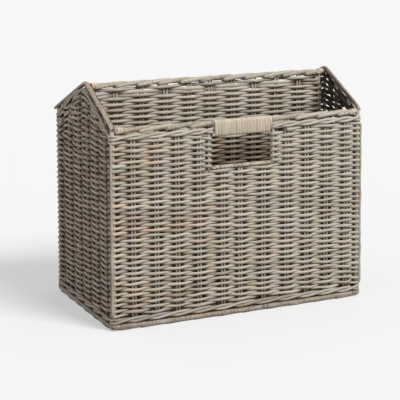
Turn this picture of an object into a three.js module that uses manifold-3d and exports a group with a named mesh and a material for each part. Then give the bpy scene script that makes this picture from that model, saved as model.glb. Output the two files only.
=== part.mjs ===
import * as THREE from "three";
import { mergeVertices } from "three/addons/utils/BufferGeometryUtils.js";
import Module from "manifold-3d";

// Magazine basket of woven rattan: two open compartments on either side of a tall middle wall,
// end walls that rise to a point, and a hand hole under a bound grip in each long wall.
// Millimetres, +Z up, +X to the right, the front at -Y, the origin under the middle of the foot.

// Driving dimensions of the basket
const length = 430;
const depth = 246;
const eavesHeight = 305;
const apexHeight = 360;
const dividerDrop = 3.5;
const dividerForward = 12;
const wallThickness = 10.5;
const seat = 0.3;

// The weaving: weavers pass in front of one pair of stakes and behind the next
const rowPitch = 4.2;
const baseBandPitch = 12;
const weaverRelief = 2.6;
const stakeDiameter = 3.4;
const stakeSpacing = 4.75;
const archStartShare = 0.84;

// Stakes of each wall, as shares of the wall from its left corner to its right one; those of
// the end walls from the back corner to the front one
const longStakeShares = [0.089, 0.176, 0.2555, 0.339, 0.432, 0.5, 0.594, 0.689, 0.771, 0.853, 0.937];
const endStakeShares = [0.222, 0.397, 0.549, 0.702, 0.86];
const dividerStakeShares = [0.122, 0.224, 0.318, 0.413, 0.498, 0.592, 0.68, 0.775, 0.871];
const baseStickShares = [0.16, 0.34, 0.5, 0.66, 0.84];

// Borders, wales and posts
const footHeight = 8.7;
const waleHeight = 11;
const gableWaleHeight = 10;
const rimHeight = 9.3;
const railHeight = 9;
const gableRimWidth = 8;
const gableRimHeight = 5.6;
const gableRimCorner = 2.2;
const neckHeight = 3.5;
const cornerPostDiameter = 8.5;
const holePostDiameter = 5.5;
const dividerPostDiameter = 6;
const lapPitch = 36;
const lapSlant = 7;
const lapStep = 1;
const lapThinShare = 0.84;
const waleStrands = 3;
const waleRootShare = 0.74;
const rimCorner = 3;
const apexRounding = 14;
const apexDrop = 2.4;
const rimEndRounding = 5;
const rimEndShare = 0.7;

// How high the underside of the base panel lies inside the foot
const baseRise = 2.5;

// Hand hole, its sill, and the grip over it
const holeWidth = 99;
const holeHeight = 44;
const holeOffset = 2;
const gripHeight = 25;
const gripDepth = 12.5;
const gripCorner = 4.2;
const sillHeight = 6;
const sillKnuckles = 16;
const knuckleShare = 0.8;

// Flat peel of the grip and the small bindings
const peelWidth = 3.6;
const peelThickness = 1.1;
const gripLoops = 22;
const bindingLoops = 2;
const bindingPitch = 4.3;

// How finely the round forms are cut
const cornerSteps = 2;
const postSides = 10;
const neckSides = 6;

// Heights that follow from the sizes above
const lowerWaleBottom = footHeight + seat;
const weaveBottom = lowerWaleBottom + waleHeight + seat;
const rimBottom = eavesHeight - rimHeight;
const upperWaleTop = rimBottom - seat;
const upperWaleBottom = upperWaleTop - waleHeight;
const weaveTop = upperWaleBottom - seat;
const holeTop = eavesHeight - gripHeight;
const holeBottom = holeTop - holeHeight;
const sillBottom = holeBottom - sillHeight;
const fieldTop = sillBottom - seat;
const baseTop = baseRise + wallThickness - weaverRelief;
const holeLeft = holeOffset - holeWidth / 2;
const holeRight = holeOffset + holeWidth / 2;

const dividerHeight = apexHeight - dividerDrop;
const halfWall = wallThickness / 2;
const innerLength = length - 2 * (wallThickness + seat);
const innerDepth = depth - 2 * (wallThickness + seat);
const rimReach = length / 2 - halfWall - gableRimWidth / 2 - seat;
const postInset = halfWall + cornerPostDiameter / 2 + seat;
const bindingSpan = bindingLoops * bindingPitch + peelWidth + 2 * seat;

// Rattan is greyed and brushed, a little lighter on the rims and the peel
const finish = (color, roughness) => new THREE.MeshStandardMaterial({ color, roughness, metalness: 0 });
const weaverFinish = finish(0xa1927e, 0.78);
const waleFinish = finish(0xab9c88, 0.74);
const borderFinish = finish(0xaf9f88, 0.72);
const stakeFinish = finish(0x978874, 0.8);
const peelFinish = finish(0xbfb096, 0.6);

const basket = new THREE.Group();
const wasm = await Module();
wasm.setup();

// A closed body from a list of triangle corners
function bodyFrom(corners) {
  const geometry = new THREE.BufferGeometry().setFromPoints(corners);
  geometry.computeVertexNormals();
  return geometry;
}

function place(group, name, geometry, material) {
  const mesh = new THREE.Mesh(geometry, material);
  mesh.name = name;
  group.add(mesh);
  return mesh;
}

function signedVolume(corners) {
  let volume = 0;
  for (let i = 0; i < corners.length; i += 3) {
    volume += corners[i].dot(corners[i + 1].clone().cross(corners[i + 2])) / 6;
  }
  return volume;
}

// Skins a row of rings, each ring with as many points, and closes both ends
function loft(rings, twist = 0) {
  const sides = rings[0].length;
  const corners = [];
  rings.slice(1).forEach((ring, k) => {
    const before = rings[k];
    for (let i = 0; i < sides; i += 1) {
      const next = (i + 1) % sides;
      const [a, b] = [before[i], before[next]];
      const [c, d] = [ring[(i + twist) % sides], ring[(next + twist) % sides]];
      corners.push(a, b, c, b, d, c);
    }
  });
  const middle = (ring) => ring.reduce((sum, p) => sum.add(p), new THREE.Vector3()).divideScalar(sides);
  const [first, last] = [rings[0], rings[rings.length - 1]];
  const [firstMiddle, lastMiddle] = [middle(first), middle(last)];
  for (let i = 0; i < sides; i += 1) {
    const next = (i + 1) % sides;
    corners.push(first[next], first[i], firstMiddle);
    corners.push(last[i], last[next], lastMiddle);
  }
  if (signedVolume(corners) < 0) corners.reverse();
  return bodyFrom(corners);
}

// Joins bodies that grow out of each other into one
function joined(geometries) {
  const solids = geometries.map((geometry) => {
    const bare = new THREE.BufferGeometry();
    const loose = geometry.index ? geometry.toNonIndexed() : geometry;
    bare.setAttribute("position", loose.getAttribute("position"));
    const merged = mergeVertices(bare);
    const vertProperties = merged.attributes.position.array;
    const triVerts = new Uint32Array(merged.index.array);
    return new wasm.Manifold(new wasm.Mesh({ numProp: 3, vertProperties, triVerts }));
  });
  const { vertProperties, triVerts } = solids.reduce((sum, solid) => sum.add(solid)).getMesh();
  const geometry = new THREE.BufferGeometry();
  geometry.setAttribute("position", new THREE.BufferAttribute(vertProperties, 3));
  geometry.setIndex(new THREE.BufferAttribute(triVerts, 1));
  return geometry;
}

// Points round a rectangle with rounded corners, as pairs across and up from its middle
function roundedOutline(width, height, radius) {
  const points = [];
  const reach = [
    [1, 1],
    [-1, 1],
    [-1, -1],
    [1, -1],
  ];
  reach.forEach(([across, up], corner) => {
    for (let step = 0; step < cornerSteps; step += 1) {
      const angle = (corner + step / (cornerSteps - 1)) * (Math.PI / 2);
      const y = across * (width / 2 - radius) + radius * Math.cos(angle);
      const z = up * (height / 2 - radius) + radius * Math.sin(angle);
      points.push([y, z]);
    }
  });
  return points;
}

// Stands an outline across the X axis at x; slant leans its upper edge forward
function ringAt(x, outline, centreZ, slant = 0) {
  const heights = outline.map(([, z]) => z);
  const [low, high] = [Math.min(...heights), Math.max(...heights)];
  return outline.map(([y, z]) => {
    const lean = slant * ((z - low) / (high - low));
    return new THREE.Vector3(x + lean, y, centreZ + z);
  });
}

// A border made of stake ends: each lap swells along its run, then steps down under the next
function lappedRings(from, to, outlineAt, centreZ) {
  const laps = Math.max(1, Math.round((to - from) / lapPitch));
  const pitch = (to - from) / laps;
  const rings = [];
  for (let lap = 0; lap < laps; lap += 1) {
    const start = from + lap * pitch;
    const startSlant = lap === 0 ? 0 : lapSlant;
    const endSlant = lap === laps - 1 ? 0 : lapSlant;
    const end = start + pitch - (lap === laps - 1 ? 0 : lapStep);
    rings.push(ringAt(start - startSlant / 2, outlineAt(lapThinShare), centreZ, startSlant));
    rings.push(ringAt(end - endSlant / 2, outlineAt(1), centreZ, endSlant));
  }
  return rings;
}

// Places about a lap apart, with one of them at the middle given
function spread(from, to, middle) {
  const places = [from];
  const runs = [
    [from, middle],
    [middle, to],
  ];
  runs.forEach(([start, end]) => {
    const laps = Math.max(1, Math.round((end - start) / lapPitch));
    for (let k = 1; k <= laps; k += 1) places.push(start + ((end - start) * k) / laps);
  });
  return places;
}

// Strands laid round each other: crests and roots change places once a stake
function wale(from, to, centreAt, height, middle = (from + to) / 2) {
  const sides = 2 * waleStrands;
  const rings = spread(from, to, middle).map((x, k) => {
    const ring = [];
    for (let i = 0; i < sides; i += 1) {
      const angle = (i * Math.PI) / waleStrands + Math.PI / 2;
      const reach = (i + k) % 2 ? waleRootShare : 1;
      const y = (wallThickness / 2) * reach * Math.cos(angle);
      const z = centreAt(x) + (height / 2) * reach * Math.sin(angle);
      ring.push(new THREE.Vector3(x, y, z));
    }
    return ring;
  });
  return loft(rings, 1);
}

const level = (height) => () => height;

// Flat peel wound round a core as one unbroken strip; prints the least gap between its turns
function winding(label, from, to, core, centreZ, loops) {
  const outlineAt = (out) => roundedOutline(core.width + 2 * out, core.height + 2 * out, core.radius + out);
  const inner = outlineAt(seat);
  const outer = outlineAt(seat + peelThickness);
  const steps = inner.length;
  const run = to - from - peelWidth;
  const rings = [];
  for (let k = 0; k <= loops * steps; k += 1) {
    const left = from + (run * k) / (loops * steps);
    const right = left + peelWidth;
    const [innerY, innerZ] = inner[k % steps];
    const [outerY, outerZ] = outer[k % steps];
    rings.push([
      new THREE.Vector3(left, innerY, centreZ + innerZ),
      new THREE.Vector3(left, outerY, centreZ + outerZ),
      new THREE.Vector3(right, outerY, centreZ + outerZ),
      new THREE.Vector3(right, innerY, centreZ + innerZ),
    ]);
  }
  let least = Infinity;
  rings.forEach((ring, k) => {
    rings.slice(k + Math.ceil(steps / 2)).forEach((later) => {
      ring.forEach((p) => later.forEach((q) => (least = Math.min(least, p.distanceTo(q)))));
    });
  });
  console.log(`${label}: least gap between turns ${least.toFixed(2)} mm`);
  return loft(rings);
}

// Fills the strip between two uprights of vertices, row by row; quads split from crest to crest
function zip(left, right, corners) {
  let i = 0;
  let j = 0;
  while (i < left.length - 1 || j < right.length - 1) {
    const [a, b, c, d] = [left[i], right[j], left[i + 1], right[j + 1]];
    if (c && d && c.row === d.row) {
      if (a.crest && d.crest) corners.push(a.at, b.at, d.at, a.at, d.at, c.at);
      else corners.push(a.at, b.at, c.at, b.at, d.at, c.at);
      i += 1;
      j += 1;
    } else if (c && (!d || c.row < d.row)) {
      corners.push(a.at, b.at, c.at);
      i += 1;
    } else {
      corners.push(a.at, b.at, d.at);
      j += 1;
    }
  }
}

// A panel of weaving, standing in the XZ plane with its outside to -Y. Every crossing of a row
// and a stake is one vertex, out where the weaver passes in front and in where it passes behind.
function wovenPanel({ uprights, rows, firstRow = 0, bottom, topAt, twoFaced = false }) {
  const last = uprights.length - 1;
  const columns = uprights.map((u, column) => {
    const crossings = rows.map((row, index) => ({ ...row, index }));
    const passing = crossings.filter((row) => row.from <= column && column <= row.to);
    const top = topAt(u);
    const pitch = (top - bottom) / passing.length;
    const edge = column === 0 || column === last;
    const upright = (side, relief) => {
      const flat = side * (halfWall - weaverRelief);
      const vertex = (row, v, out, crest) => ({ row, crest, at: new THREE.Vector3(u, flat + out, v) });
      const inside = !relief
        ? []
        : passing.map(({ index }, k) => {
            const front = (firstRow + index + column) % 2 === 0;
            const out = edge ? 0 : weaverRelief * (front ? -1 : 1);
            const crest = !edge && (side < 0 ? front : !front);
            return vertex(index, bottom + pitch * (k + 1 / 2), out, crest);
          });
      return [vertex(-1, bottom, 0, false), ...inside, vertex(Infinity, top, 0, false)];
    };
    return { outer: upright(-1, true), inner: upright(1, twoFaced) };
  });
  const corners = [];
  columns.slice(1).forEach((column, k) => {
    const before = columns[k];
    zip(before.outer, column.outer, corners);
    zip(column.inner, before.inner, corners);
    const [o0, n0, o1, n1] = [before.outer, before.inner, column.outer, column.inner].map((c) => c[0].at);
    corners.push(o0, n0, o1, o1, n0, n1);
    const tops = [before.outer, before.inner, column.outer, column.inner].map((c) => c[c.length - 1].at);
    const [p0, q0, p1, q1] = tops;
    corners.push(p0, p1, q0, p1, q1, q0);
  });
  zip(columns[0].inner, columns[0].outer, corners);
  zip(columns[last].outer, columns[last].inner, corners);
  return bodyFrom(corners);
}

// Rows that run the whole width of a panel
function fullRows(height, pitch, uprights) {
  const count = Math.max(2, Math.round(height / pitch));
  return Array.from({ length: count }, () => ({ from: 0, to: uprights.length - 1 }));
}

// Rows of a pointed panel: full rows, with pairs of short rows between the upper ones, which
// turn back round their last stake and lift the rows above them into an arch
function archedRows(uprights, bottom, topAt) {
  const last = uprights.length - 1;
  const corner = topAt(uprights[0]);
  const full = Math.max(4, Math.round((corner - bottom) / rowPitch));
  const pairs = uprights.map((u) => Math.round((topAt(u) - corner) / (2 * rowPitch)));
  const most = Math.max(...pairs);
  const plain = Math.round(full * archStartShare);
  const rows = Array.from({ length: plain }, () => ({ from: 0, to: last }));
  let laid = 0;
  for (let k = 1; k <= full - plain; k += 1) {
    rows.push({ from: 0, to: last });
    while (laid < Math.floor((k * most) / (full - plain))) {
      const rank = laid % 2 === 0 ? laid / 2 : Math.ceil(most / 2) + (laid - 1) / 2;
      const span = uprights.map((u, i) => i).filter((i) => pairs[i] > rank);
      const short = { from: span[0], to: span[span.length - 1] };
      rows.push(short, { ...short });
      laid += 1;
    }
  }
  return rows;
}

const along = (shares, size) => shares.map((share) => (share - 1 / 2) * size);

// An upright rod of the wall, between two heights
function post(x, y, diameter, low, high) {
  const geometry = new THREE.CylinderGeometry(diameter / 2, diameter / 2, high - low, postSides);
  geometry.rotateX(Math.PI / 2);
  geometry.translate(x, y, (low + high) / 2);
  return geometry;
}

// The bare ends of a pair of stakes between a wale and the border that they turn into
function necks(stakes, lowAt, highAt) {
  const rods = stakes.flatMap((u) => [u - stakeSpacing / 2, u + stakeSpacing / 2]);
  return rods.map((u) => {
    const [low, high] = [lowAt(u), highAt(u)];
    const rod = new THREE.CylinderGeometry(stakeDiameter / 2, stakeDiameter / 2, high - low, neckSides);
    rod.rotateX(Math.PI / 2);
    rod.translate(u, 0, (low + high) / 2);
    return rod;
  });
}

const footOutline = (share) => {
  const [half, top] = [halfWall * share, footHeight * share];
  const [sole, shoulder] = [half - rimCorner / 2, half - rimCorner];
  return [
    [sole, 0],
    [half, rimCorner / 2],
    [half, top - rimCorner],
    [shoulder, top],
    [-shoulder, top],
    [-half, top - rimCorner],
    [-half, rimCorner / 2],
    [-sole, 0],
  ];
};

const railOutline = (height, width = wallThickness, corner = rimCorner) => (share) =>
  roundedOutline(width * share, height * share, corner * share);

// The part of a border that a binding goes round, thinner by the peel
function boundCore(width, height, corner) {
  const shrink = 2 * (peelThickness + seat);
  return { width: width - shrink, height: height - shrink, radius: corner - peelThickness };
}

const coreRing = (x, core, centreZ) =>
  ringAt(x, roundedOutline(core.width, core.height, core.radius), centreZ);

// A group that stands a wall up at its place, with the wall's own outside at -Y
function standing(x, y, turn) {
  const wall = new THREE.Group();
  wall.position.set(x, y, 0);
  wall.rotation.z = turn;
  basket.add(wall);
  return wall;
}

// The two short bindings that hold the ends of a border
function endBindings(wall, names, from, to, core, centreZ) {
  const spans = [
    [from, from + bindingSpan - 2 * seat],
    [to - bindingSpan + 2 * seat, to],
  ];
  spans.forEach(([start, end], k) => {
    place(wall, names[k], winding(names[k], start, end, core, centreZ, bindingLoops), peelFinish);
  });
}

// The foot border of a wall and the wale that stands on it
function footing(wall, side, from, to) {
  const foot = loft(lappedRings(from, to, footOutline, 0));
  place(wall, `${side}_foot_border`, foot, borderFinish);
  const centre = level(lowerWaleBottom + waleHeight / 2);
  place(wall, `${side}_lower_wale`, wale(from, to, centre, waleHeight), waleFinish);
}

// The weaving of a long wall: a field up to the sill, and a flank on either side of the hand
// hole, whose rows turn back at the hole's own posts
function longWallWeave(wall, side) {
  const stakes = along(longStakeShares, length);
  const [left, right] = [postInset - length / 2, length / 2 - postInset];
  const field = [left, ...stakes, right];
  const fieldRows = fullRows(fieldTop - weaveBottom, rowPitch, field);
  const fieldPanel = { uprights: field, rows: fieldRows, bottom: weaveBottom, topAt: level(fieldTop) };
  place(wall, `${side}_weave_field`, wovenPanel(fieldPanel), weaverFinish);

  const leftTurn = holeLeft - holePostDiameter - seat;
  const rightTurn = holeRight + holePostDiameter + seat;
  const flanks = {
    left: [left, ...stakes.filter((u) => u < leftTurn - stakeSpacing), leftTurn],
    right: [rightTurn, ...stakes.filter((u) => u > rightTurn + stakeSpacing), right],
  };
  Object.entries(flanks).forEach(([hand, uprights]) => {
    const rows = fullRows(weaveTop - sillBottom, rowPitch, uprights);
    const skipped = hand === "left" ? 0 : field.length - uprights.length;
    const firstRow = fieldRows.length + skipped;
    const panel = { uprights, rows, firstRow, bottom: sillBottom, topAt: level(weaveTop) };
    place(wall, `${side}_weave_flank_${hand}`, wovenPanel(panel), weaverFinish);
  });
}

// The posts on either side of the hand hole, and its sill: a rod bound all along, so that it
// shows a row of knuckles
function holeFrame(wall, side) {
  const postReach = holePostDiameter / 2;
  const posts = { left: holeLeft - postReach, right: holeRight + postReach };
  Object.entries(posts).forEach(([hand, x]) => {
    place(wall, `${side}_hole_post_${hand}`, post(x, 0, holePostDiameter, sillBottom, weaveTop), stakeFinish);
  });
  const [from, to] = [holeLeft + seat, holeRight - seat];
  const rings = [];
  for (let k = 0; k <= 2 * sillKnuckles; k += 1) {
    const share = k % 2 ? 1 : knuckleShare;
    const x = from + ((to - from) * k) / (2 * sillKnuckles);
    rings.push(ringAt(x, railOutline(sillHeight)(share), sillBottom + sillHeight / 2));
  }
  place(wall, `${side}_hole_sill`, loft(rings), peelFinish);
}

// The rim narrows into the bundle that the grip is wound round, and under its end bindings
function rimAndGrip(wall, side) {
  const rimCentre = eavesHeight - rimHeight / 2;
  const gripCentre = eavesHeight - gripHeight / 2;
  const outline = railOutline(rimHeight);
  const grip = boundCore(gripDepth, gripHeight, gripCorner);
  const end = boundCore(wallThickness, rimHeight, rimCorner);
  const [from, to] = [-rimReach, rimReach];
  const [lapLeft, lapRight] = [from + bindingSpan, to - bindingSpan];
  const rings = [
    coreRing(from, end, rimCentre),
    coreRing(lapLeft - seat, end, rimCentre),
    ...lappedRings(lapLeft, holeLeft, outline, rimCentre),
    coreRing(holeLeft + seat, grip, gripCentre),
    coreRing(holeRight - seat, grip, gripCentre),
    ...lappedRings(holeRight, lapRight, outline, rimCentre),
    coreRing(lapRight + seat, end, rimCentre),
    coreRing(to, end, rimCentre),
  ];
  place(wall, `${side}_rim`, loft(rings), borderFinish);

  const name = `${side}_grip_winding`;
  const peel = winding(name, holeLeft + 2 * seat, holeRight - 2 * seat, grip, gripCentre, gripLoops);
  place(wall, name, peel, peelFinish);
  endBindings(wall, [`${side}_rim_binding_left`, `${side}_rim_binding_right`], from, to, end, rimCentre);
}

function longWall(side, turn) {
  const reach = (depth - wallThickness) / 2;
  const wall = standing(0, turn ? reach : -reach, turn);
  footing(wall, side, -length / 2, length / 2);
  longWallWeave(wall, side);
  holeFrame(wall, side);
  const centre = level(upperWaleBottom + waleHeight / 2);
  const leftWale = wale(-length / 2, holeLeft - seat, centre, waleHeight);
  const rightWale = wale(holeRight + seat, length / 2, centre, waleHeight);
  place(wall, `${side}_upper_wale_left`, leftWale, waleFinish);
  place(wall, `${side}_upper_wale_right`, rightWale, waleFinish);
  rimAndGrip(wall, side);
}

// The lines of a pointed end whose point is at apexAt along the wall: the middle of its rim, the
// top of its wale, and the top of its weaving
function gableLines(apexAt) {
  const rise = apexHeight - eavesHeight;
  const reachAt = (u) => (u < apexAt ? depth / 2 + apexAt : depth / 2 - apexAt);
  const slopeAt = (u) => apexHeight - gableRimHeight / 2 - (rise * Math.abs(u - apexAt)) / reachAt(u);
  const waleTopAt = (u) => slopeAt(u) - gableRimHeight / 2 - neckHeight;
  const weaveTopAt = (u) => waleTopAt(u) - gableWaleHeight - seat;
  return { slopeAt, waleTopAt, weaveTopAt };
}

// The rim of a pointed end: one smooth bundle over the point, carried by the stakes' bare necks
function gableRim(stakes, apexAt, { slopeAt, waleTopAt }) {
  const outline = railOutline(gableRimHeight, gableRimWidth, gableRimCorner);
  const stations = [
    { u: -depth / 2, share: rimEndShare, drop: 0 },
    { u: rimEndRounding - depth / 2, share: 1, drop: 0 },
    { u: apexAt - apexRounding, share: 1, drop: 0 },
    { u: apexAt, share: 1, drop: apexDrop },
    { u: apexAt + apexRounding, share: 1, drop: 0 },
    { u: depth / 2 - rimEndRounding, share: 1, drop: 0 },
    { u: depth / 2, share: rimEndShare, drop: 0 },
  ];
  const bundle = loft(stations.map(({ u, share, drop }) => ringAt(u, outline(share), slopeAt(u) - drop)));
  const steepest = (apexHeight - eavesHeight) / (depth / 2 - dividerForward);
  const footingRise = steepest * (stakeDiameter / 2) + seat;
  const rods = necks(stakes, (u) => waleTopAt(u) + footingRise, (u) => slopeAt(u) - apexDrop);
  return joined([bundle, ...rods]);
}

// The point of both end walls is as far forward as the middle wall; hand turns the places along
// the wall round for the end on the right
function endWall(side, hand) {
  const wall = standing((-hand * (length - wallThickness)) / 2, 0, (-hand * Math.PI) / 2);
  const [from, to] = [-innerDepth / 2, innerDepth / 2];
  footing(wall, side, from, to);

  const apexAt = hand * dividerForward;
  const lines = gableLines(apexAt);
  const stakes = along(endStakeShares, depth).map((u) => hand * u);
  stakes.sort((a, b) => a - b);
  const uprights = [postInset - depth / 2, ...stakes, depth / 2 - postInset];
  const rows = archedRows(uprights, weaveBottom, lines.weaveTopAt);
  const panel = { uprights, rows, bottom: weaveBottom, topAt: lines.weaveTopAt };
  place(wall, `${side}_gable_weave`, wovenPanel(panel), weaverFinish);

  const centreAt = (u) => lines.waleTopAt(u) - gableWaleHeight / 2;
  place(wall, `${side}_gable_wale`, wale(from, to, centreAt, gableWaleHeight, apexAt), waleFinish);
  place(wall, `${side}_gable_rim`, gableRim(stakes, apexAt, lines), borderFinish);
}

// The middle wall, woven to show two good faces, with its rail and the bindings at both points
function divider() {
  const wall = standing(0, -dividerForward, 0);
  const [from, to] = [-innerLength / 2, innerLength / 2];
  const waleTop = dividerHeight - railHeight - seat;
  const waleBottom = waleTop - waleHeight;
  const weaveLow = baseTop + seat;
  const weaveHigh = waleBottom - seat;
  const stakes = along(dividerStakeShares, length);
  const postRun = dividerPostDiameter + seat;
  const uprights = [from + postRun, ...stakes, to - postRun];
  const rows = fullRows(weaveHigh - weaveLow, rowPitch, uprights);
  const panel = { uprights, rows, bottom: weaveLow, topAt: level(weaveHigh), twoFaced: true };
  place(wall, "divider_weave", wovenPanel(panel), weaverFinish);

  const postReach = dividerPostDiameter / 2;
  const posts = { left: from + postReach, right: to - postReach };
  Object.entries(posts).forEach(([hand, x]) => {
    place(wall, `divider_post_${hand}`, post(x, 0, dividerPostDiameter, weaveLow, weaveHigh), stakeFinish);
  });
  const waleCentre = level(waleBottom + waleHeight / 2);
  place(wall, "divider_wale", wale(from, to, waleCentre, waleHeight), waleFinish);

  const railCentre = dividerHeight - railHeight / 2;
  const end = boundCore(wallThickness, railHeight, rimCorner);
  const [lapLeft, lapRight] = [bindingSpan - rimReach, rimReach - bindingSpan];
  const rings = [
    coreRing(-rimReach, end, railCentre),
    coreRing(lapLeft - seat, end, railCentre),
    ...lappedRings(lapLeft, lapRight, railOutline(railHeight), railCentre),
    coreRing(lapRight + seat, end, railCentre),
    coreRing(rimReach, end, railCentre),
  ];
  place(wall, "divider_rail", loft(rings), borderFinish);
  endBindings(wall, ["apex_binding_left", "apex_binding_right"], -rimReach, rimReach, end, railCentre);
}

// The base lies inside the foot: sticks run its length, and bands of weavers cross them
function base() {
  const sticks = along(baseStickShares, innerDepth);
  const uprights = [-innerDepth / 2, ...sticks, innerDepth / 2];
  const rows = fullRows(innerLength, baseBandPitch, uprights);
  const panel = { uprights, rows, bottom: -innerLength / 2, topAt: level(innerLength / 2) };
  const mesh = place(basket, "base_weave", wovenPanel(panel), weaverFinish);
  const across = new THREE.Vector3(0, -1, 0);
  const down = new THREE.Vector3(0, 0, -1);
  const lengthwise = new THREE.Vector3(1, 0, 0);
  mesh.quaternion.setFromRotationMatrix(new THREE.Matrix4().makeBasis(across, down, lengthwise));
  mesh.position.z = baseTop - halfWall;
}

function cornerPosts() {
  const [x, y] = [length / 2 - halfWall, depth / 2 - halfWall];
  const places = { front_left: [-x, -y], front_right: [x, -y], back_left: [-x, y], back_right: [x, y] };
  Object.entries(places).forEach(([corner, [px, py]]) => {
    const rod = post(px, py, cornerPostDiameter, weaveBottom, weaveTop);
    place(basket, `corner_post_${corner}`, rod, stakeFinish);
  });
}

base();
longWall("front", 0);
longWall("back", Math.PI);
endWall("left", 1);
endWall("right", -1);
divider();
cornerPosts();

export default basket;
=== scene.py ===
"""Magazine basket of grey-washed rattan, with every weaver, stake and border rod as its own form.

All layout is in millimetres. A wall is laid out flat, as places (u, n, v): u along the wall as
seen from outside, n outward from its middle plane, and v up. A Wall then stands it in the basket.
"""

import logging
import math
from dataclasses import dataclass, replace
from enum import Enum
from functools import cached_property

import bpy
import numpy as np
from mathutils import Matrix, Vector


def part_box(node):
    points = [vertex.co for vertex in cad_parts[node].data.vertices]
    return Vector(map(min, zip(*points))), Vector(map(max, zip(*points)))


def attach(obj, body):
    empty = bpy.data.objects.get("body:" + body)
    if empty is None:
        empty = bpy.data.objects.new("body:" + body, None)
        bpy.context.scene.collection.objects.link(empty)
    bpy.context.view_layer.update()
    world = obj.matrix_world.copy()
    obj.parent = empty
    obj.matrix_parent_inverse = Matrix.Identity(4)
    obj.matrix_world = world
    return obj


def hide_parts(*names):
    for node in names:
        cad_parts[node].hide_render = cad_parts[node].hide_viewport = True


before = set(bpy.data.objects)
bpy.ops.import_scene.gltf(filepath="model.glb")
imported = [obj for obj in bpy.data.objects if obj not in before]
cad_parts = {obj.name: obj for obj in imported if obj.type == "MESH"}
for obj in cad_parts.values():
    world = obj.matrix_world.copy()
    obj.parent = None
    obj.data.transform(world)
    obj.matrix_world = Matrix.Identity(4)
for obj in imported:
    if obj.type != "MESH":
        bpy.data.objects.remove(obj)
LOG = logging.getLogger("basket")
MM = 0.001
WHITE = (1.0, 1.0, 1.0, 1.0)
Pair = tuple[float, float]
Triple = tuple[float, float, float]


# ---------------------------------------------------------------- shader helpers


class Wire:
    """One shader socket, with arithmetic that adds Math nodes."""

    def __init__(self, tree: "Tree", socket: bpy.types.NodeSocket) -> None:
        """Keeps the socket and the tree that it belongs to."""
        self.tree, self.socket = tree, socket

    def _math(self, operation: str, first: "Wire | float", second: "Wire | float") -> "Wire":
        """Adds one Math node and returns its output."""
        return self.tree.add("ShaderNodeMath", {0: first, 1: second}, operation=operation)

    def __add__(self, other: "Wire | float") -> "Wire":
        """Adds."""
        return self._math("ADD", self, other)

    __radd__ = __add__

    def __sub__(self, other: "Wire | float") -> "Wire":
        """Subtracts."""
        return self._math("SUBTRACT", self, other)

    def __rsub__(self, other: "Wire | float") -> "Wire":
        """Subtracts from a number."""
        return self._math("SUBTRACT", other, self)

    def __mul__(self, other: "Wire | float") -> "Wire":
        """Multiplies."""
        return self._math("MULTIPLY", self, other)

    __rmul__ = __mul__

    def between(self, low: float, high: float) -> "Wire":
        """Maps low to 0 and high to 1, smoothly, and stays within them."""
        inputs = {0: self, 1: low, 2: high}
        return self.tree.add("ShaderNodeMapRange", inputs, interpolation_type="SMOOTHSTEP")


class Tree:
    """The node tree of a material or a world."""

    def __init__(self, owner: bpy.types.Material | bpy.types.World) -> None:
        """Empties the owner's tree.

        Args:
            owner: the material or world to dress.
        """
        owner.use_nodes = True
        self.nodes, self.links = owner.node_tree.nodes, owner.node_tree.links
        self.nodes.clear()

    def node(self, kind: str, inputs: dict | None = None, **settings: object) -> bpy.types.Node:
        """Adds a node.

        Args:
            kind: the node's type.
            inputs: a value or a Wire for each input, by name or number.
            settings: its properties; stops holds a ramp's places and colours.

        Returns:
            The node.
        """
        made = self.nodes.new(kind)
        for rank, (place, colour) in enumerate(settings.pop("stops", ())):
            elements = made.color_ramp.elements
            stop = elements.new(place) if 0 < place < 1 else elements[min(rank, len(elements) - 1)]
            stop.position, stop.color = place, (*colour, 1.0)
        for key, value in settings.items():
            setattr(made, key, value)
        for key, value in (inputs or {}).items():
            if isinstance(value, Wire):
                self.links.new(value.socket, made.inputs[key])
            else:
                made.inputs[key].default_value = value
        return made

    def add(self, kind: str, inputs: dict | None = None, out: int | str = 0, **settings: object) -> Wire:
        """Adds a node and returns one of its outputs as a Wire."""
        return Wire(self, self.node(kind, inputs, **settings).outputs[out])

    def blend(self, factor: Wire, first: Wire, second: Wire | Triple) -> Wire:
        """Mixes two colours: the first where the factor is 0, the second where it is 1."""
        other = second if isinstance(second, Wire) else (*second, 1.0)
        return self.add("ShaderNodeMix", {0: factor, 6: first, 7: other}, 2, data_type="RGBA")


# ---------------------------------------------------------------- finishes


class Slot(Enum):
    """Material slots of the record."""

    WEAVER = "weaver"
    WALE = "wale"
    BORDER = "border"
    STAKE = "stake"
    PEEL = "peel"


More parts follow.
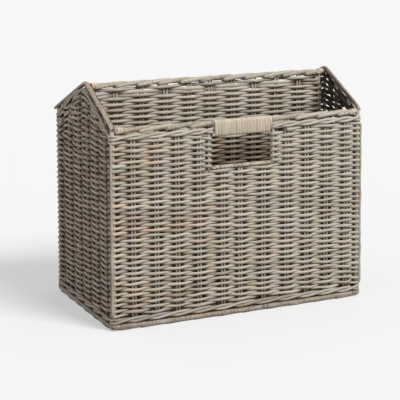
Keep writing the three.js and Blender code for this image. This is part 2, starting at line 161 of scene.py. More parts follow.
@dataclass(frozen=True)
class Rattan:
    """Rattan with a pale grey wash, which is lightest on the high places, and painted shade, near black, in
    the low ones.

    A pattern of the grain is its changes in a metre along a strand and across it, and its detail.
    """

    slot: Slot
    # the colour of the deepest painted shade
    deep_shade: Triple = (0.030, 0.018, 0.010)
    bark: Triple = (0.19, 0.14, 0.093)
    tan: Triple = (0.415, 0.361, 0.281)
    pale: Triple = (0.43, 0.392, 0.327)
    blush: Triple = (0.49, 0.36, 0.28)
    moss: Triple = (0.37, 0.385, 0.305)
    umber: Triple = (0.99, 0.90, 0.855)
    ash: Triple = (0.40, 0.375, 0.36)
    fibres: Triple = (28.0, 850.0, 3.0)
    mottles: Triple = (95.0, 180.0, 2.0)
    patches: Triple = (16.0, 40.0, 1.0)
    cuts: Triple = (520.0, 60.0, 1.0)
    regions: float = 26.0
    wash: float = 0.0
    hatch: float = 0.0
    roughness: float = 0.72
    gloss: float = 0.32

    @cached_property
    def material(self) -> bpy.types.Material:
        """The material, named for its slot and built when it is first asked for.

        Returns:
            The material.
        """
        made = bpy.data.materials.new(f"rattan_{self.slot.value}")
        tree = Tree(made)
        strand = tree.add("ShaderNodeAttribute", out="Vector", attribute_name="strand")
        tint = tree.add("ShaderNodeAttribute", out="Color", attribute_name="tint")
        split = tree.node("ShaderNodeSeparateColor", {0: tint})
        tone, warmth, bare = (Wire(tree, split.outputs[k]) for k in range(3))

        def noise(pattern: Triple) -> Wire:
            """Noise stretched along the strand."""
            stretch = {0: strand, 1: (pattern[0], pattern[1], pattern[1])}
            place = tree.add("ShaderNodeVectorMath", stretch, operation="MULTIPLY")
            return tree.add("ShaderNodeTexNoise", {"Vector": place, "Scale": 1.0, "Detail": pattern[2]})

        fibre, mottle, patch, cut = map(noise, (self.fibres, self.mottles, self.patches, self.cuts))
        place = tree.add("ShaderNodeTexCoord", out="Object")
        warm = warmth - tree.add("ShaderNodeSeparateXYZ", {0: place}) * 1.2
        region = tree.add("ShaderNodeTexNoise", {"Vector": place, "Scale": self.regions, "Detail": 1.0})
        grain = (fibre - 0.5) * 0.5 + (mottle - 0.5) * 0.45 + (tone - 0.5) * 0.34
        shade = bare + grain * (bare * 0.9 + 0.15) + self.wash
        relief = fibre * 0.6 + mottle * 0.4
        if self.hatch:
            shade = shade - cut.between(0.52, 0.66) * self.hatch
            relief = relief - cut * self.hatch

        # the ramp runs from the deepest painted shade through bark and tan to the pale wash
        stops = [(0.0, self.deep_shade), (0.34, self.bark), (0.66, self.tan), (1.0, self.pale)]
        washed_and_shaded = tree.add("ShaderNodeValToRGB", {0: shade}, stops=stops)
        brown = tree.add("ShaderNodeVectorMath", {0: washed_and_shaded, 1: self.umber}, operation="MULTIPLY")
        colour = tree.blend(warm.between(0.7, 1.25), washed_and_shaded, brown)
        ashen = region.between(0.48, 0.34) * bare.between(0.3, 0.6) * 0.45
        colour = tree.blend(ashen, colour, self.ash)
        colour = tree.blend(patch.between(0.46, 0.72) * warm * 0.55, colour, self.blush)
        green = patch.between(0.50, 0.30) * 0.6 + region.between(0.50, 0.66) * (1.1 - bare)
        green = green * bare.between(0.2, 0.5) * (1.0 - warm).between(0.1, 0.9) * 0.9
        colour = tree.blend(green, colour, self.moss)
        # the tone holds each strand's own tone and, on the end walls, a painted highlight on the crests
        lifted = {0: colour, "Scale": tone * 0.30 + 0.86}
        bump = {"Strength": 0.35, "Distance": 0.0004, "Height": relief}
        inputs = {
            "Base Color": tree.add("ShaderNodeVectorMath", lifted, operation="SCALE"),
            "Roughness": (1.0 - fibre) * 0.24 + (self.roughness - 0.12),
            "Specular IOR Level": self.gloss,
            "Normal": tree.add("ShaderNodeBump", bump),
        }
        tree.node("ShaderNodeOutputMaterial", {0: tree.add("ShaderNodeBsdfPrincipled", inputs)})
        return made


FINISHES = {
    Slot.WEAVER: Rattan(Slot.WEAVER),
    Slot.WALE: Rattan(Slot.WALE, wash=0.02),
    Slot.BORDER: Rattan(Slot.BORDER, wash=-0.02, hatch=0.4, roughness=0.66),
    Slot.STAKE: Rattan(Slot.STAKE, roughness=0.76),
    Slot.PEEL: Rattan(Slot.PEEL, tan=(0.37, 0.30, 0.215), pale=(0.50, 0.435, 0.335), roughness=0.6),
}


# ---------------------------------------------------------------- sizes and places


def extent(node: str, axis: int) -> Pair:
    """A CAD node's lowest and highest place on one axis, in millimetres."""
    low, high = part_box(node)
    return low[axis] / MM, high[axis] / MM


def middle(node: str, axis: int) -> float:
    """The middle of a CAD node on one axis, in millimetres."""
    return sum(extent(node, axis)) / 2


def spread(shares: tuple[float, ...], size: float, hand: float = 1.0) -> list[float]:
    """Places along a wall from its shares, in order."""
    return sorted(hand * (share - 0.5) * size for share in shares)


def unit(vectors: np.ndarray) -> np.ndarray:
    """Vectors scaled to a length of one."""
    return vectors / np.maximum(np.linalg.norm(vectors, axis=-1, keepdims=True), 1e-9)


def ramp(values: np.ndarray, start: float, end: float) -> np.ndarray:
    """0 up to start and 1 from end on, with a straight line between; end may be the lower."""
    return np.clip((values - start) / (end - start), 0.0, 1.0)


@dataclass(frozen=True)
class Sizes:
    """The basket's main sizes, read from the solids."""

    half_length: float = extent("front_foot_border", 0)[1]
    half_depth: float = extent("back_foot_border", 1)[1]
    eaves: float = extent("front_rim", 2)[1]
    rail_top: float = extent("divider_rail", 2)[1]
    rim_over_rail: float = 3.5
    forward: float = -middle("divider_rail", 1)
    weave_bottom: float = extent("front_weave_field", 2)[0]
    field_top: float = extent("front_weave_field", 2)[1]
    flank_bottom: float = extent("front_weave_flank_left", 2)[0]
    flank_top: float = extent("front_weave_flank_left", 2)[1]
    hole_left: float = extent("front_hole_sill", 0)[0] - 0.3
    hole_right: float = extent("front_hole_sill", 0)[1] + 0.3
    stake_foot: float = 3.0
    stake_tuck: float = 3.0
    half_wall: float = 5.25
    lean: float = 0.01
    field_rows: int = 50
    flank_rows: int = 13

    @property
    def rows(self) -> int:
        """Rows from the lower wale to the upper one, at a corner."""
        return self.field_rows + self.flank_rows

    @property
    def apex(self) -> float:
        """The height of the end walls' points."""
        return self.rail_top + self.rim_over_rail

    def row_height(self, row: int) -> float:
        """The height of a level row's middle.

        Args:
            row: its number, from the lowest up.

        Returns:
            The height.
        """
        low, high, count = self.weave_bottom, self.field_top, self.field_rows
        if row >= count:
            row, low, high, count = row - count, self.flank_bottom, self.flank_top, self.flank_rows
        return low + (high - low) * (row + 0.5) / count


SIZES = Sizes()
LONG_SHARES = (0.089, 0.176, 0.2555, 0.339, 0.432, 0.5, 0.594, 0.689, 0.771, 0.853, 0.937)
END_SHARES = (0.222, 0.397, 0.549, 0.702, 0.86)
DIVIDER_SHARES = (0.122, 0.224, 0.318, 0.413, 0.498, 0.592, 0.68, 0.775, 0.871)
BASE_SHARES = (0.16, 0.34, 0.5, 0.66, 0.84)


@dataclass(frozen=True)
class Wall:
    """Where a wall that is laid out flat stands, and how its strands differ from the common ones.

    Painted shade darkens the inner face, the low parts and the gaps between the strands, and a painted
    highlight lightens the strands' crests; warm and full make the strands browner and thicker; painted
    light makes them lighter upwards and to the right.
    """

    name: str
    origin: Triple
    along: Triple
    outward: Triple
    upward: Triple = (0.0, 0.0, 1.0)
    half: float = 0.0
    start: float = 0.0
    # painted shade on the inner face
    inside: float = 0.0
    # painted shade low down
    sunk_shade: float = 0.0
    warm: float = 0.0
    # painted shade between the strands, and a painted highlight on their crests
    dark: float = 0.0
    full: float = 0.0
    # painted light, lighter to the right and upwards
    fade: float = 0.0

    @cached_property
    def axes(self) -> np.ndarray:
        """The wall's three directions, one a row."""
        return np.array([self.along, self.outward, self.upward], float)

    def place(self, flat: np.ndarray) -> np.ndarray:
        """Stands flat places up. The walls lean in a little towards the top.

        Args:
            flat: places (u, n, v), one a row.

        Returns:
            Places in the basket's own frame, in millimetres.
        """
        world = np.asarray(flat, float) @ self.axes + np.array(self.origin, float)
        inward = SIZES.lean * world[..., 2]
        world[..., 0] *= 1.0 - inward / SIZES.half_length
        world[..., 1] *= 1.0 - inward / SIZES.half_depth
        return world


LONG_REACH = SIZES.half_length - SIZES.half_wall
END_REACH = SIZES.half_depth - SIZES.half_wall
PERIMETER = 4 * (LONG_REACH + END_REACH)
# the outer walls are painted in shade on their inner faces; the end walls also between the strands, with a
# painted highlight on the crests
LONG = {"half": LONG_REACH, "inside": 0.4}
END = {"half": END_REACH, "inside": 0.7, "warm": 0.55, "dark": 0.6}
STARTS = {"right": 2 * LONG_REACH, "back": PERIMETER / 2, "left": PERIMETER - 2 * END_REACH}
# the front is painted lighter to the right and upwards
FRONT = Wall("front", (0, -END_REACH, 0), (1, 0, 0), (0, -1, 0), fade=0.11, **LONG)
RIGHT = Wall("right", (LONG_REACH, 0, 0), (0, 1, 0), (1, 0, 0), start=STARTS["right"], **END)
BACK = Wall("back", (0, END_REACH, 0), (-1, 0, 0), (0, 1, 0), start=STARTS["back"], full=0.35, **LONG)
LEFT = Wall("left", (-LONG_REACH, 0, 0), (0, -1, 0), (-1, 0, 0), start=STARTS["left"], full=0.6, **END)
# the divider is painted in shade low down
DIVIDER = Wall("divider", (0, -SIZES.forward, 0), (1, 0, 0), (0, -1, 0), sunk_shade=0.42)


# ---------------------------------------------------------------- meshes


@dataclass(frozen=True)
class WashAndShade:
    """Where the wash is lighter or darker on a strand, and where painted shade and painted light fall on
    it. A range runs from no change to the full one.
    """

    # how far out a point faces, and its level there: pale wash on the crests, painted shade on the sides
    # that face into the wall, near black deep in
    depths: tuple[float, ...] = (-3.3, -1.2, 0.0, 1.3, 5.3)
    wash_and_shade_levels: tuple[float, ...] = (0.05, 0.22, 0.52, 0.66, 0.82)
    # painted shade darkening a bundle towards its middle, by the distance from it
    bundle: Pair = (1.0, 4.6)
    # painted shade in the gaps between the strands
    between: Pair = (3.1, 0.5)
    # painted highlight on the crests of the strands
    ridge: Pair = (3.6, 4.8)
    # painted shade on a wall's inner face
    inner: Pair = (0.0, -3.0)
    # painted shade low down, by height
    low: Pair = (288.0, 240.0)
    # painted light, lighter to the right and upwards: a share a millimetre each way, less a constant
    fade: Triple = (1 / 200, 1 / 150, 0.75)


WASH_AND_SHADE = WashAndShade()


@dataclass
class Rod:
    """One rod or strip, as its flat path on a wall and what changes along it.

    before and after are the places next to its ends, round a corner. axis is the height of the bundle that
    it is part of, which is painted in shade towards its middle and left lighter outside.
    """

    path: np.ndarray
    radii: np.ndarray | Pair
    tone: np.ndarray | float = 0.5
    warmth: np.ndarray | float = 0.5
    before: np.ndarray | None = None
    after: np.ndarray | None = None
    closed: bool = False
    side: Triple = (0.0, 0.0, 1.0)
    axis: float | np.ndarray | None = None
    # a bundle's level in its middle, darkened by painted shade, and on its outside
    bare: float = 0.5
    worn: float = 0.84
    sides: int = 8


def core(start: float, end: float, height: float, radii: Pair, steps: int, axis: float) -> Rod:
    """A straight level rod inside a bundle.

    Args:
        start: where it starts along the wall.
        end: where it ends.
        height: its height.
        radii: its radii, up and across.
        steps: points on its path.
        axis: the height of the bundle's middle.

    Returns:
        The rod.
    """
    path = np.column_stack([np.linspace(start, end, steps), np.zeros(steps), np.full(steps, height)])
    return Rod(path, radii, tone=0.3, axis=axis)


class Mould:
    """An upright rod modelled once, one long and one in radius."""

    def __init__(self, sides: int, cuts: int) -> None:
        """Models the rod and keeps its points and faces.

        Args:
            sides: faces round the rod.
            cuts: rings between its ends.
        """
        bpy.ops.object.select_all(action="DESELECT")
        bpy.ops.mesh.primitive_cylinder_add(vertices=sides, radius=1, depth=1, location=(0, 0, 0.5))
        rod = bpy.context.active_object
        bpy.ops.object.transform_apply(location=True, rotation=True, scale=True)
        bpy.ops.object.mode_set(mode="EDIT")
        bpy.ops.mesh.select_all(action="DESELECT")
        bpy.ops.object.mode_set(mode="OBJECT")
        for edge in rod.data.edges:
            low, high = (rod.data.vertices[k].co.z for k in edge.vertices)
            edge.select = abs(high - low) > 0.5
        bpy.ops.object.mode_set(mode="EDIT")
        bpy.ops.mesh.subdivide(number_cuts=cuts)
        bpy.ops.object.mode_set(mode="OBJECT")
        self.points = np.array([v.co for v in rod.data.vertices])
        by_size: dict[int, list[tuple[int, ...]]] = {}
        for face in rod.data.polygons:
            by_size.setdefault(len(face.vertices), []).append(tuple(face.vertices))
        self.faces = [np.array(faces) for faces in by_size.values()]
        bpy.data.objects.remove(rod, do_unlink=True)


class Shape:
    """A piece under way on one wall: points, faces and what its material reads."""

    grain_length, grain_reach = 9000, 3.0

    def __init__(self, wall: Wall, seed: int) -> None:
        """Starts an empty piece.

        Args:
            wall: where its flat places stand.
            seed: sets its chances, such as where on the grain each strand starts.
        """
        self.wall = wall
        self.dice = np.random.default_rng(seed)
        self.points: list[np.ndarray] = []
        self.faces: list[np.ndarray] = []
        self.strand: list[np.ndarray] = []
        self.tint: list[np.ndarray] = []
        self.count = 0

    def _keep(
        self,
        points: np.ndarray,
        faces: list[np.ndarray],
        along: np.ndarray,
        circle: np.ndarray,
        tint: np.ndarray,
    ) -> None:
        """Adds points and faces, with the tint and the place on its strand of each point.

        Args:
            points: the points, in millimetres.
            faces: arrays of faces.
            along: how far along its strand each point is.
            circle: where it is on a circle round the strand.
            tint: its tone, warmth and bareness, and a one.
        """
        start = along + self.dice.uniform(0, self.grain_length)
        self.strand.append(np.column_stack([start, circle * self.grain_reach]) * MM)
        self.points.append(points * MM)
        self.faces.extend(f + self.count for f in faces)
        self.tint.append(tint)
        self.count += len(points)

    def draw(self, count: int, tones: Pair, warmths: Pair) -> np.ndarray:
        """Draws a tone and a warmth for each of some loops, within two ranges."""
        return np.column_stack([self.dice.uniform(*tones, count), self.dice.uniform(*warmths, count)])

    def rod(self, rod: Rod) -> None:
        """Adds a tube that follows a flat path on the wall.

        Args:
            rod: the path, its radii and its tints.
        """
        path, count, sides = self.wall.place(rod.path), len(rod.path), rod.sides
        if rod.closed:
            prior, later = np.roll(path, 1, 0), np.roll(path, -1, 0)
        else:
            first = 2 * path[0] - path[1] if rod.before is None else self.wall.place(rod.before)
            last = 2 * path[-1] - path[-2] if rod.after is None else self.wall.place(rod.after)
            prior, later = np.vstack([first, path[:-1]]), np.vstack([path[1:], last])
        tangent = unit(later - prior)
        side = np.array(rod.side, float) @ self.wall.axes
        upward = unit(side - (tangent @ side)[:, None] * tangent)
        ways = np.stack([upward, np.cross(tangent, upward)], 1)
        angles = 2 * np.pi * (np.arange(sides) + 0.5) / sides
        circle = np.column_stack([np.sin(angles), np.cos(angles)])
        radii = np.broadcast_to(np.asarray(rod.radii, float), (count, 2))
        offset = (radii[:, None] * circle) @ ways

        ring = np.arange(sides)
        rows = np.arange(count if rod.closed else count - 1)[:, None] * sides
        above, beside = (rows + sides) % (count * sides), (ring + 1) % sides
        faces = [np.stack([rows + ring, above + ring, above + beside, rows + beside], 2).reshape(-1, 4)]
        if not rod.closed:
            cap = np.array([[0, j, j + 1, j + 2] for j in range(1, sides - 2, 2)])
            faces += [cap, cap[:, ::-1] + (count - 1) * sides]
        along = np.append(0.0, np.cumsum(np.linalg.norm(np.diff(path, axis=0), axis=1)))
        points = (path[:, None] + offset).reshape(-1, 3)
        tint = self._tint(rod, path[:, 2:], offset)
        self._keep(points, faces, np.repeat(along, sides), np.tile(circle, (count, 1)), tint)

    def _tint(self, rod: Rod, heights: np.ndarray, offset: np.ndarray) -> np.ndarray:
        """What the material reads at each point of a rod.

        Args:
            rod: the rod.
            heights: its height in the basket, one a row.
            offset: the way from its path to each point round it.

        Returns:
            The tone, the warmth and the level of wash and painted shade of each point, and a one.
        """
        wall = self.wall
        tone, warmth = (np.reshape(value, (-1, 1)) for value in (rod.tone, rod.warmth))
        u, n, v = (rod.path[:, k : k + 1] for k in range(3))
        away = offset @ wall.axes[1]
        out = n + away
        if rod.axis is None:
            rightward, upward, least = WASH_AND_SHADE.fade
            # pale wash on the crests; painted shade on the side of a strand that faces into the wall, near
            # black deep in
            bare = np.interp(out * np.sign(away), WASH_AND_SHADE.depths, WASH_AND_SHADE.wash_and_shade_levels)
            # painted shade between the strands
            bare -= wall.dark * ramp(out, *WASH_AND_SHADE.between)
            # painted light, lighter to the right and upwards
            bare += wall.fade * (u * rightward + v * upward - least)
        else:
            rise = v + offset @ wall.axes[2] - np.reshape(rod.axis, (-1, 1))
            # painted shade, darker towards the bundle's middle
            bare = rod.bare + (rod.worn - rod.bare) * ramp(np.hypot(out, rise), *WASH_AND_SHADE.bundle)
        # painted shade on the inner face, and low down on the divider
        bare -= wall.inside * ramp(out, *WASH_AND_SHADE.inner) + wall.sunk_shade * ramp(heights, *WASH_AND_SHADE.low)
        # painted highlight on the crests
        tone = tone + wall.dark * ramp(out, *WASH_AND_SHADE.ridge)
        return np.stack(np.broadcast_arrays(tone, warmth, bare, 1.0), 2).reshape(-1, 4)

    def cast(self, mould: Mould, place: Pair, span: Pair, radius: float, tone: float, bare: float) -> None:
        """Adds a copy of the modelled rod.

        Args:
            mould: the modelled rod.
            place: where it stands, as (u, n).
            span: the heights of its foot and its top.
            radius: its radius.
            tone: its tint.
            bare: its level between the deepest painted shade and the pale wash.
        """
        length, share = span[1] - span[0], mould.points[:, 2]
        across = mould.points[:, :2] * radius + place
        points = self.wall.place(np.column_stack([across, span[0] + length * share]))
        turned = np.linalg.det(self.wall.axes) < 0
        faces = [f[:, ::-1] if turned else f for f in mould.faces]
        tint = np.tile([tone, 0.5, bare, 1.0], (len(points), 1))
        self._keep(points, faces, share * length, mould.points[:, :2], tint)

    def finish(self, name: str, slot: Slot, *nodes: str) -> None:
        """Makes the piece a mesh object that stands for CAD nodes.

        Args:
            name: the object's name.
            slot: its material slot.
            nodes: the CAD nodes that it stands for.
        """
        mesh = bpy.data.meshes.new(name)
        points = np.concatenate(self.points)
        sizes = np.concatenate([np.full(len(f), f.shape[1]) for f in self.faces])
        corners = np.concatenate([f.ravel() for f in self.faces])
        mesh.vertices.add(len(points))
        mesh.vertices.foreach_set("co", points.ravel())
        mesh.loops.add(len(corners))
        mesh.loops.foreach_set("vertex_index", corners)
        mesh.polygons.add(len(sizes))
        mesh.polygons.foreach_set("loop_start", np.concatenate([[0], np.cumsum(sizes)[:-1]]))
        mesh.polygons.foreach_set("loop_total", sizes)
        mesh.polygons.foreach_set("use_smooth", np.ones(len(sizes), bool))
        mesh.update(calc_edges=True)
        strand = mesh.attributes.new("strand", "FLOAT_VECTOR", "POINT")
        strand.data.foreach_set("vector", np.concatenate(self.strand).ravel())
        tint = mesh.attributes.new("tint", "FLOAT_COLOR", "POINT")
        tint.data.foreach_set("color", np.concatenate(self.tint).ravel())
        mesh.materials.append(FINISHES[slot].material)
        made = bpy.data.objects.new(name, mesh)
        bpy.context.scene.collection.objects.link(made)
        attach(made, "root")
        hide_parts(*nodes)
        LOG.info("%s: %d points, %d faces", name, len(points), len(sizes))


# ---------------------------------------------------------------- weaving


def through(us: list[float], vs: list[float], places: np.ndarray) -> np.ndarray:
    """Heights on a smooth line through given places.

    Args:
        us: the places, from either end.
        vs: the height at each.
        places: where the heights are wanted.

    Returns:
        The heights.
    """
    order = np.argsort(us)
    u, v = np.array(us, float)[order], np.array(vs, float)[order]
    slopes = np.gradient(v, u)
    low = np.clip(np.searchsorted(u, places) - 1, 0, len(u) - 2)
    span = u[low + 1] - u[low]
    t = np.clip((places - u[low]) / span, 0.0, 1.0)
    rise = (3 - 2 * t) * t * t
    bend = (t - 1) * t * span
    return v[low] * (1 - rise) + v[low + 1] * rise + bend * ((t - 1) * slopes[low] + t * slopes[low + 1])


@dataclass(frozen=True)
class Weave:
    """How a rod runs over and under the stakes."""

    reach: float = 3.25
    radius: float = 2.36
    across: float = 2.05
    pair: float = 2.4
    flatness: float = 1.6
    turn_steps: int = 5
    shares: tuple[float, ...] = (1 / 6, 2 / 6, 3 / 6, 4 / 6, 5 / 6)
    corner_reach: float = 4.3
    corner_fillet: float = 3.0
    corner_angles: Triple = (22.5, 45.0, 67.5)

    def depths(self, outs: list[bool]) -> list[float]:
        """How far out a rod passes columns, outside some and inside the others."""
        return [self.reach if out else -self.reach for out in outs]

    def run(self, us: list[float], ns: list[float], vs: list[float], halves: list[float]) -> np.ndarray:
        """A path past a row of columns: level past each, and an S between two.

        Args:
            us: where the columns stand along the wall.
            ns: how far out the rod passes each.
            vs: its height at each.
            halves: half the width of each column.

        Returns:
            The flat path.
        """
        way = 1.0 if us[-1] >= us[0] else -1.0
        points: list[Pair] = []
        for k, (u, n, half) in enumerate(zip(us, ns, halves)):
            if k:
                start, end = us[k - 1] + way * halves[k - 1], u - way * half
                for share in self.shares:
                    swing = math.cos(math.pi * share)
                    ease = (1 - math.copysign(abs(swing) ** self.flatness, swing)) / 2
                    points.append((start + (end - start) * share, ns[k - 1] + (n - ns[k - 1]) * ease))
            points += [(u - way * half, n), (u + way * half, n)] if half > 0 else [(u, n)]
        flat = np.array(points)
        return np.column_stack([flat, through(us, vs, flat[:, 0])])

    def turn(
        self, u: float, n: float, low: float, high: float, way: float, length: float = 0.0
    ) -> np.ndarray:
        """Half a turn round a column's end, from n to the other side, while it rises.

        Args:
            u: where the turn's middle is.
            n: how far out the rod comes in.
            low: its height there.
            high: its height when it leaves.
            way: 1 for a turn towards +u.
            length: how far the turn reaches, if not as far as it comes in.

        Returns:
            The flat path without its two ends.
        """
        angles = np.pi * np.arange(1, self.turn_steps) / self.turn_steps
        ease = (1 - np.cos(angles)) / 2
        reach = way * (length or abs(n)) * np.sin(angles)
        return np.column_stack([u + reach, n * np.cos(angles), low + (high - low) * ease])

    def corner(self, half: float, n: float) -> tuple[float, np.ndarray]:
        """The way round a corner post, up to the mitre and one step past it.

        Args:
            half: the wall's half length between the middles of the walls beside it.
            n: how far out the rod runs; inside if negative.

        Returns:
            Where the straight run ends, and the pairs (u, n) of three steps.
        """
        radius = self.corner_reach if n > 0 else self.corner_fillet
        centre = half + n - radius
        angles = np.radians(self.corner_angles)
        arc = [centre + radius * np.sin(angles), n - radius + radius * np.cos(angles)]
        return centre, np.column_stack(arc)


WEAVE = Weave()


@dataclass(frozen=True)
class Columns:
    """The columns that a rod passes: where they stand, and the number of the first one.

    corners says whether the first and the last one are corners of the basket.
    """

    us: list[float]
    first: int
    corners: tuple[bool, bool] = (True, True)

    def part(self, start: int, stop: int | None = None) -> "Columns":
        """Some of the columns, by rank."""
        return replace(self, us=self.us[start:stop], first=self.first + start)

    def outs(self, row: int) -> list[bool]:
        """Whether a row passes outside each."""
        return [(row + self.first + k) % 2 == 0 for k in range(len(self.us))]

    def path(self, half: float, outs: list[bool], vs: list[float]) -> tuple[np.ndarray, list, list[float]]:
        """A rod's path past the columns and round the corners at its ends.

        Args:
            half: the wall's half length.
            outs: whether the rod passes each column outside.
            vs: its height at each.

        Returns:
            The path, the places before and after it, and the columns' places, with the ends of
            its straight run for the corners.
        """
        ns = WEAVE.depths(outs)
        us, halves = list(self.us), [WEAVE.pair] * len(self.us)
        arcs, ghosts = [[], []], [None, None]
        for end, way in ((0, -1.0), (-1, 1.0)):
            if self.corners[end]:
                straight, arc = WEAVE.corner(half, ns[end])
                us[end], halves[end] = way * straight, 0.0
                steps = np.column_stack([way * arc[:, 0], arc[:, 1], np.full(len(arc), vs[end])])
                arcs[end], ghosts[end] = steps[:2], steps[2]
        path = np.vstack([*arcs[0][::-1], WEAVE.run(us, ns, vs, halves), *arcs[1]])
        return path, ghosts, us


class Drift:
    """Slow changes along a row, which meet themselves after one round of the basket."""

    count, slowest, fastest, corner = 6, 4, 46, 8.0

    def __init__(self, dice: np.random.Generator, amount: float) -> None:
        """Draws the waves.

        Args:
            dice: the source of chance.
            amount: the size of the changes.
        """
        self.waves = dice.integers(self.slowest, self.fastest, self.count)
        self.phases = dice.uniform(0, 2 * np.pi, self.count)
        self.weights = dice.normal(0, amount / math.sqrt(3), self.count)

    def __call__(self, wall: Wall, u: np.ndarray) -> np.ndarray:
        """The change at places along a wall.

        Args:
            wall: the wall; its rows keep one change round a corner.
            u: places along it.

        Returns:
            The change at each.
        """
        if wall.half:
            inner = wall.half - self.corner
            u = wall.start + wall.half + np.clip(u, -inner, inner) * (wall.half / inner)
        return np.sin(np.outer(u, 2 * np.pi * self.waves / PERIMETER) + self.phases) @ self.weights


@dataclass
class RowPlan:
    """What one row keeps on its way round: its drift and the tints of its strands."""

    lift: Drift
    girth: Drift
    tones: np.ndarray
    warmths: np.ndarray

    @classmethod
    def drawn(cls, dice: np.random.Generator, columns: int) -> "RowPlan":
        """Draws a plan; a new strand starts at four columns in ten.

        Args:
            dice: the source of chance.
            columns: how many columns the row passes.

        Returns:
            The plan.
        """
        tones, warmths = np.zeros(columns), np.zeros(columns)
        tone, warmth = dice.uniform(0, 1, 2)
        for c in range(columns):
            if dice.uniform() < 0.4:
                tone, warmth = np.clip(dice.normal(0.5, 0.24), 0, 1), dice.uniform()
            tones[c], warmths[c] = tone, warmth
        return cls(Drift(dice, 0.4), Drift(dice, 0.085), tones, warmths)

    def rod(self, wall: Wall, path: np.ndarray, columns: Columns, outs: list[bool], **more: object) -> Rod:
        """Dresses a path as one of this row's rods.

        Args:
            wall: the wall it runs on.
            path: the flat path.
            columns: the columns that it passes.
            outs: whether it passes each outside.
            more: other fields of the rod.

        Returns:
            The rod.
        """
        path = path.copy()
        path[:, 2] += self.lift(wall, path[:, 0])
        for key, end in (("before", 0), ("after", -1)):
            if more.get(key) is not None:
                more[key] = more[key] + (0.0, 0.0, self.lift(wall, path[[end], 0])[0])
        order = np.argsort(columns.us)
        ranks = np.searchsorted(np.array(columns.us)[order], path[:, 0])
        low, high = order[np.maximum(ranks - 1, 0)], order[np.minimum(ranks, len(order) - 1)]
        picks = (columns.first + np.where(np.array(outs)[low], low, high)) % len(self.tones)
        girth = 1 + self.girth(wall, path[:, 0])
        closing = 1 + wall.full * ramp(path[:, 1], 0.0, -WEAVE.reach)
        radii = np.column_stack([WEAVE.radius * girth * closing, WEAVE.across * girth])
        return Rod(path, radii, self.tones[picks], np.clip(self.warmths[picks] + wall.warm, 0, 1), **more)


class Weaving:
    """The rows of the outer walls, planned once so that they meet at the corners."""

    columns, spares, seed = 36, 32, 41

    def __init__(self) -> None:
        """Draws a plan for every row, and spare ones for the short rows."""
        dice = np.random.default_rng(self.seed)
        self.plans = [RowPlan.drawn(dice, self.columns) for _ in range(SIZES.rows)]
        self.spare = [RowPlan.drawn(dice, self.columns) for _ in range(self.spares)]

    def level_row(self, shape: Shape, row: int, columns: Columns, vs: list[float]) -> None:
        """Adds one row between two corners, or from a corner to a hole post.

        Args:
            shape: the piece to add to.
            row: the row's number.
            columns: the columns that it passes.
            vs: its height at each.
        """
        outs = columns.outs(row)
        path, (before, after), us = columns.path(shape.wall.half, outs, vs)
        passed = replace(columns, us=us)
        shape.rod(self.plans[row].rod(shape.wall, path, passed, outs, before=before, after=after))

    def hole_pair(self, shape: Shape, row: int, columns: Columns) -> None:
        """Adds two rows of a flank that are one strand, turned back round the hole post.

        Args:
            shape: the piece to add to.
            row: the lower row's number.
            columns: a corner at one end, and the hole post at the other.
        """
        way, post = (1, -1) if columns.corners[0] else (-1, 0)
        parts, ghosts, turns = [], [], []
        for number in (row, row + 1):
            outs, height = columns.outs(number), SIZES.row_height(number)
            path, ends, _ = columns.path(shape.wall.half, outs, [height] * len(outs))
            parts.append(path[::way][:-2])
            ghosts.append(ends[::way][0])
            turns.append((columns.us[post], WEAVE.depths(outs)[post], height))
        turn = WEAVE.turn(*turns[0], turns[1][2], float(way))
        path = np.vstack([parts[0], turns[0], turn, turns[1], parts[1][::-1]])
        outs, (before, after) = columns.outs(row), ghosts
        shape.rod(self.plans[row].rod(shape.wall, path, columns, outs, before=before, after=after))

    def short_pair(
        self, shape: Shape, row: int, spare: int, columns: Columns, heights: tuple[list, list], tails: Pair
    ) -> None:
        """Adds two short rows of a pointed end, one closed strand turned back at both ends.

        Args:
            shape: the piece to add to.
            row: the lower row's number in the count of all rows.
            spare: which spare plan to use.
            columns: the columns that they pass.
            heights: the lower row's heights and the upper one's.
            tails: how far its turns reach past the first and the last column.
        """
        (low, high), us, outs = heights, columns.us, columns.outs(row)
        ns, halves = WEAVE.depths(outs), [WEAVE.pair] * len(us)
        there = WEAVE.run(us, ns, low, halves)
        back = WEAVE.run(us[::-1], [-n for n in ns[::-1]], high[::-1], halves)
        over = WEAVE.turn(us[-1] + WEAVE.pair, ns[-1], low[-1], high[-1], 1.0, tails[1])
        under = WEAVE.turn(us[0] - WEAVE.pair, -ns[0], high[0], low[0], -1.0, tails[0])
        path = np.vstack([there, over, back, under])
        shape.rod(self.spare[spare % self.spares].rod(shape.wall, path, columns, outs, closed=True))


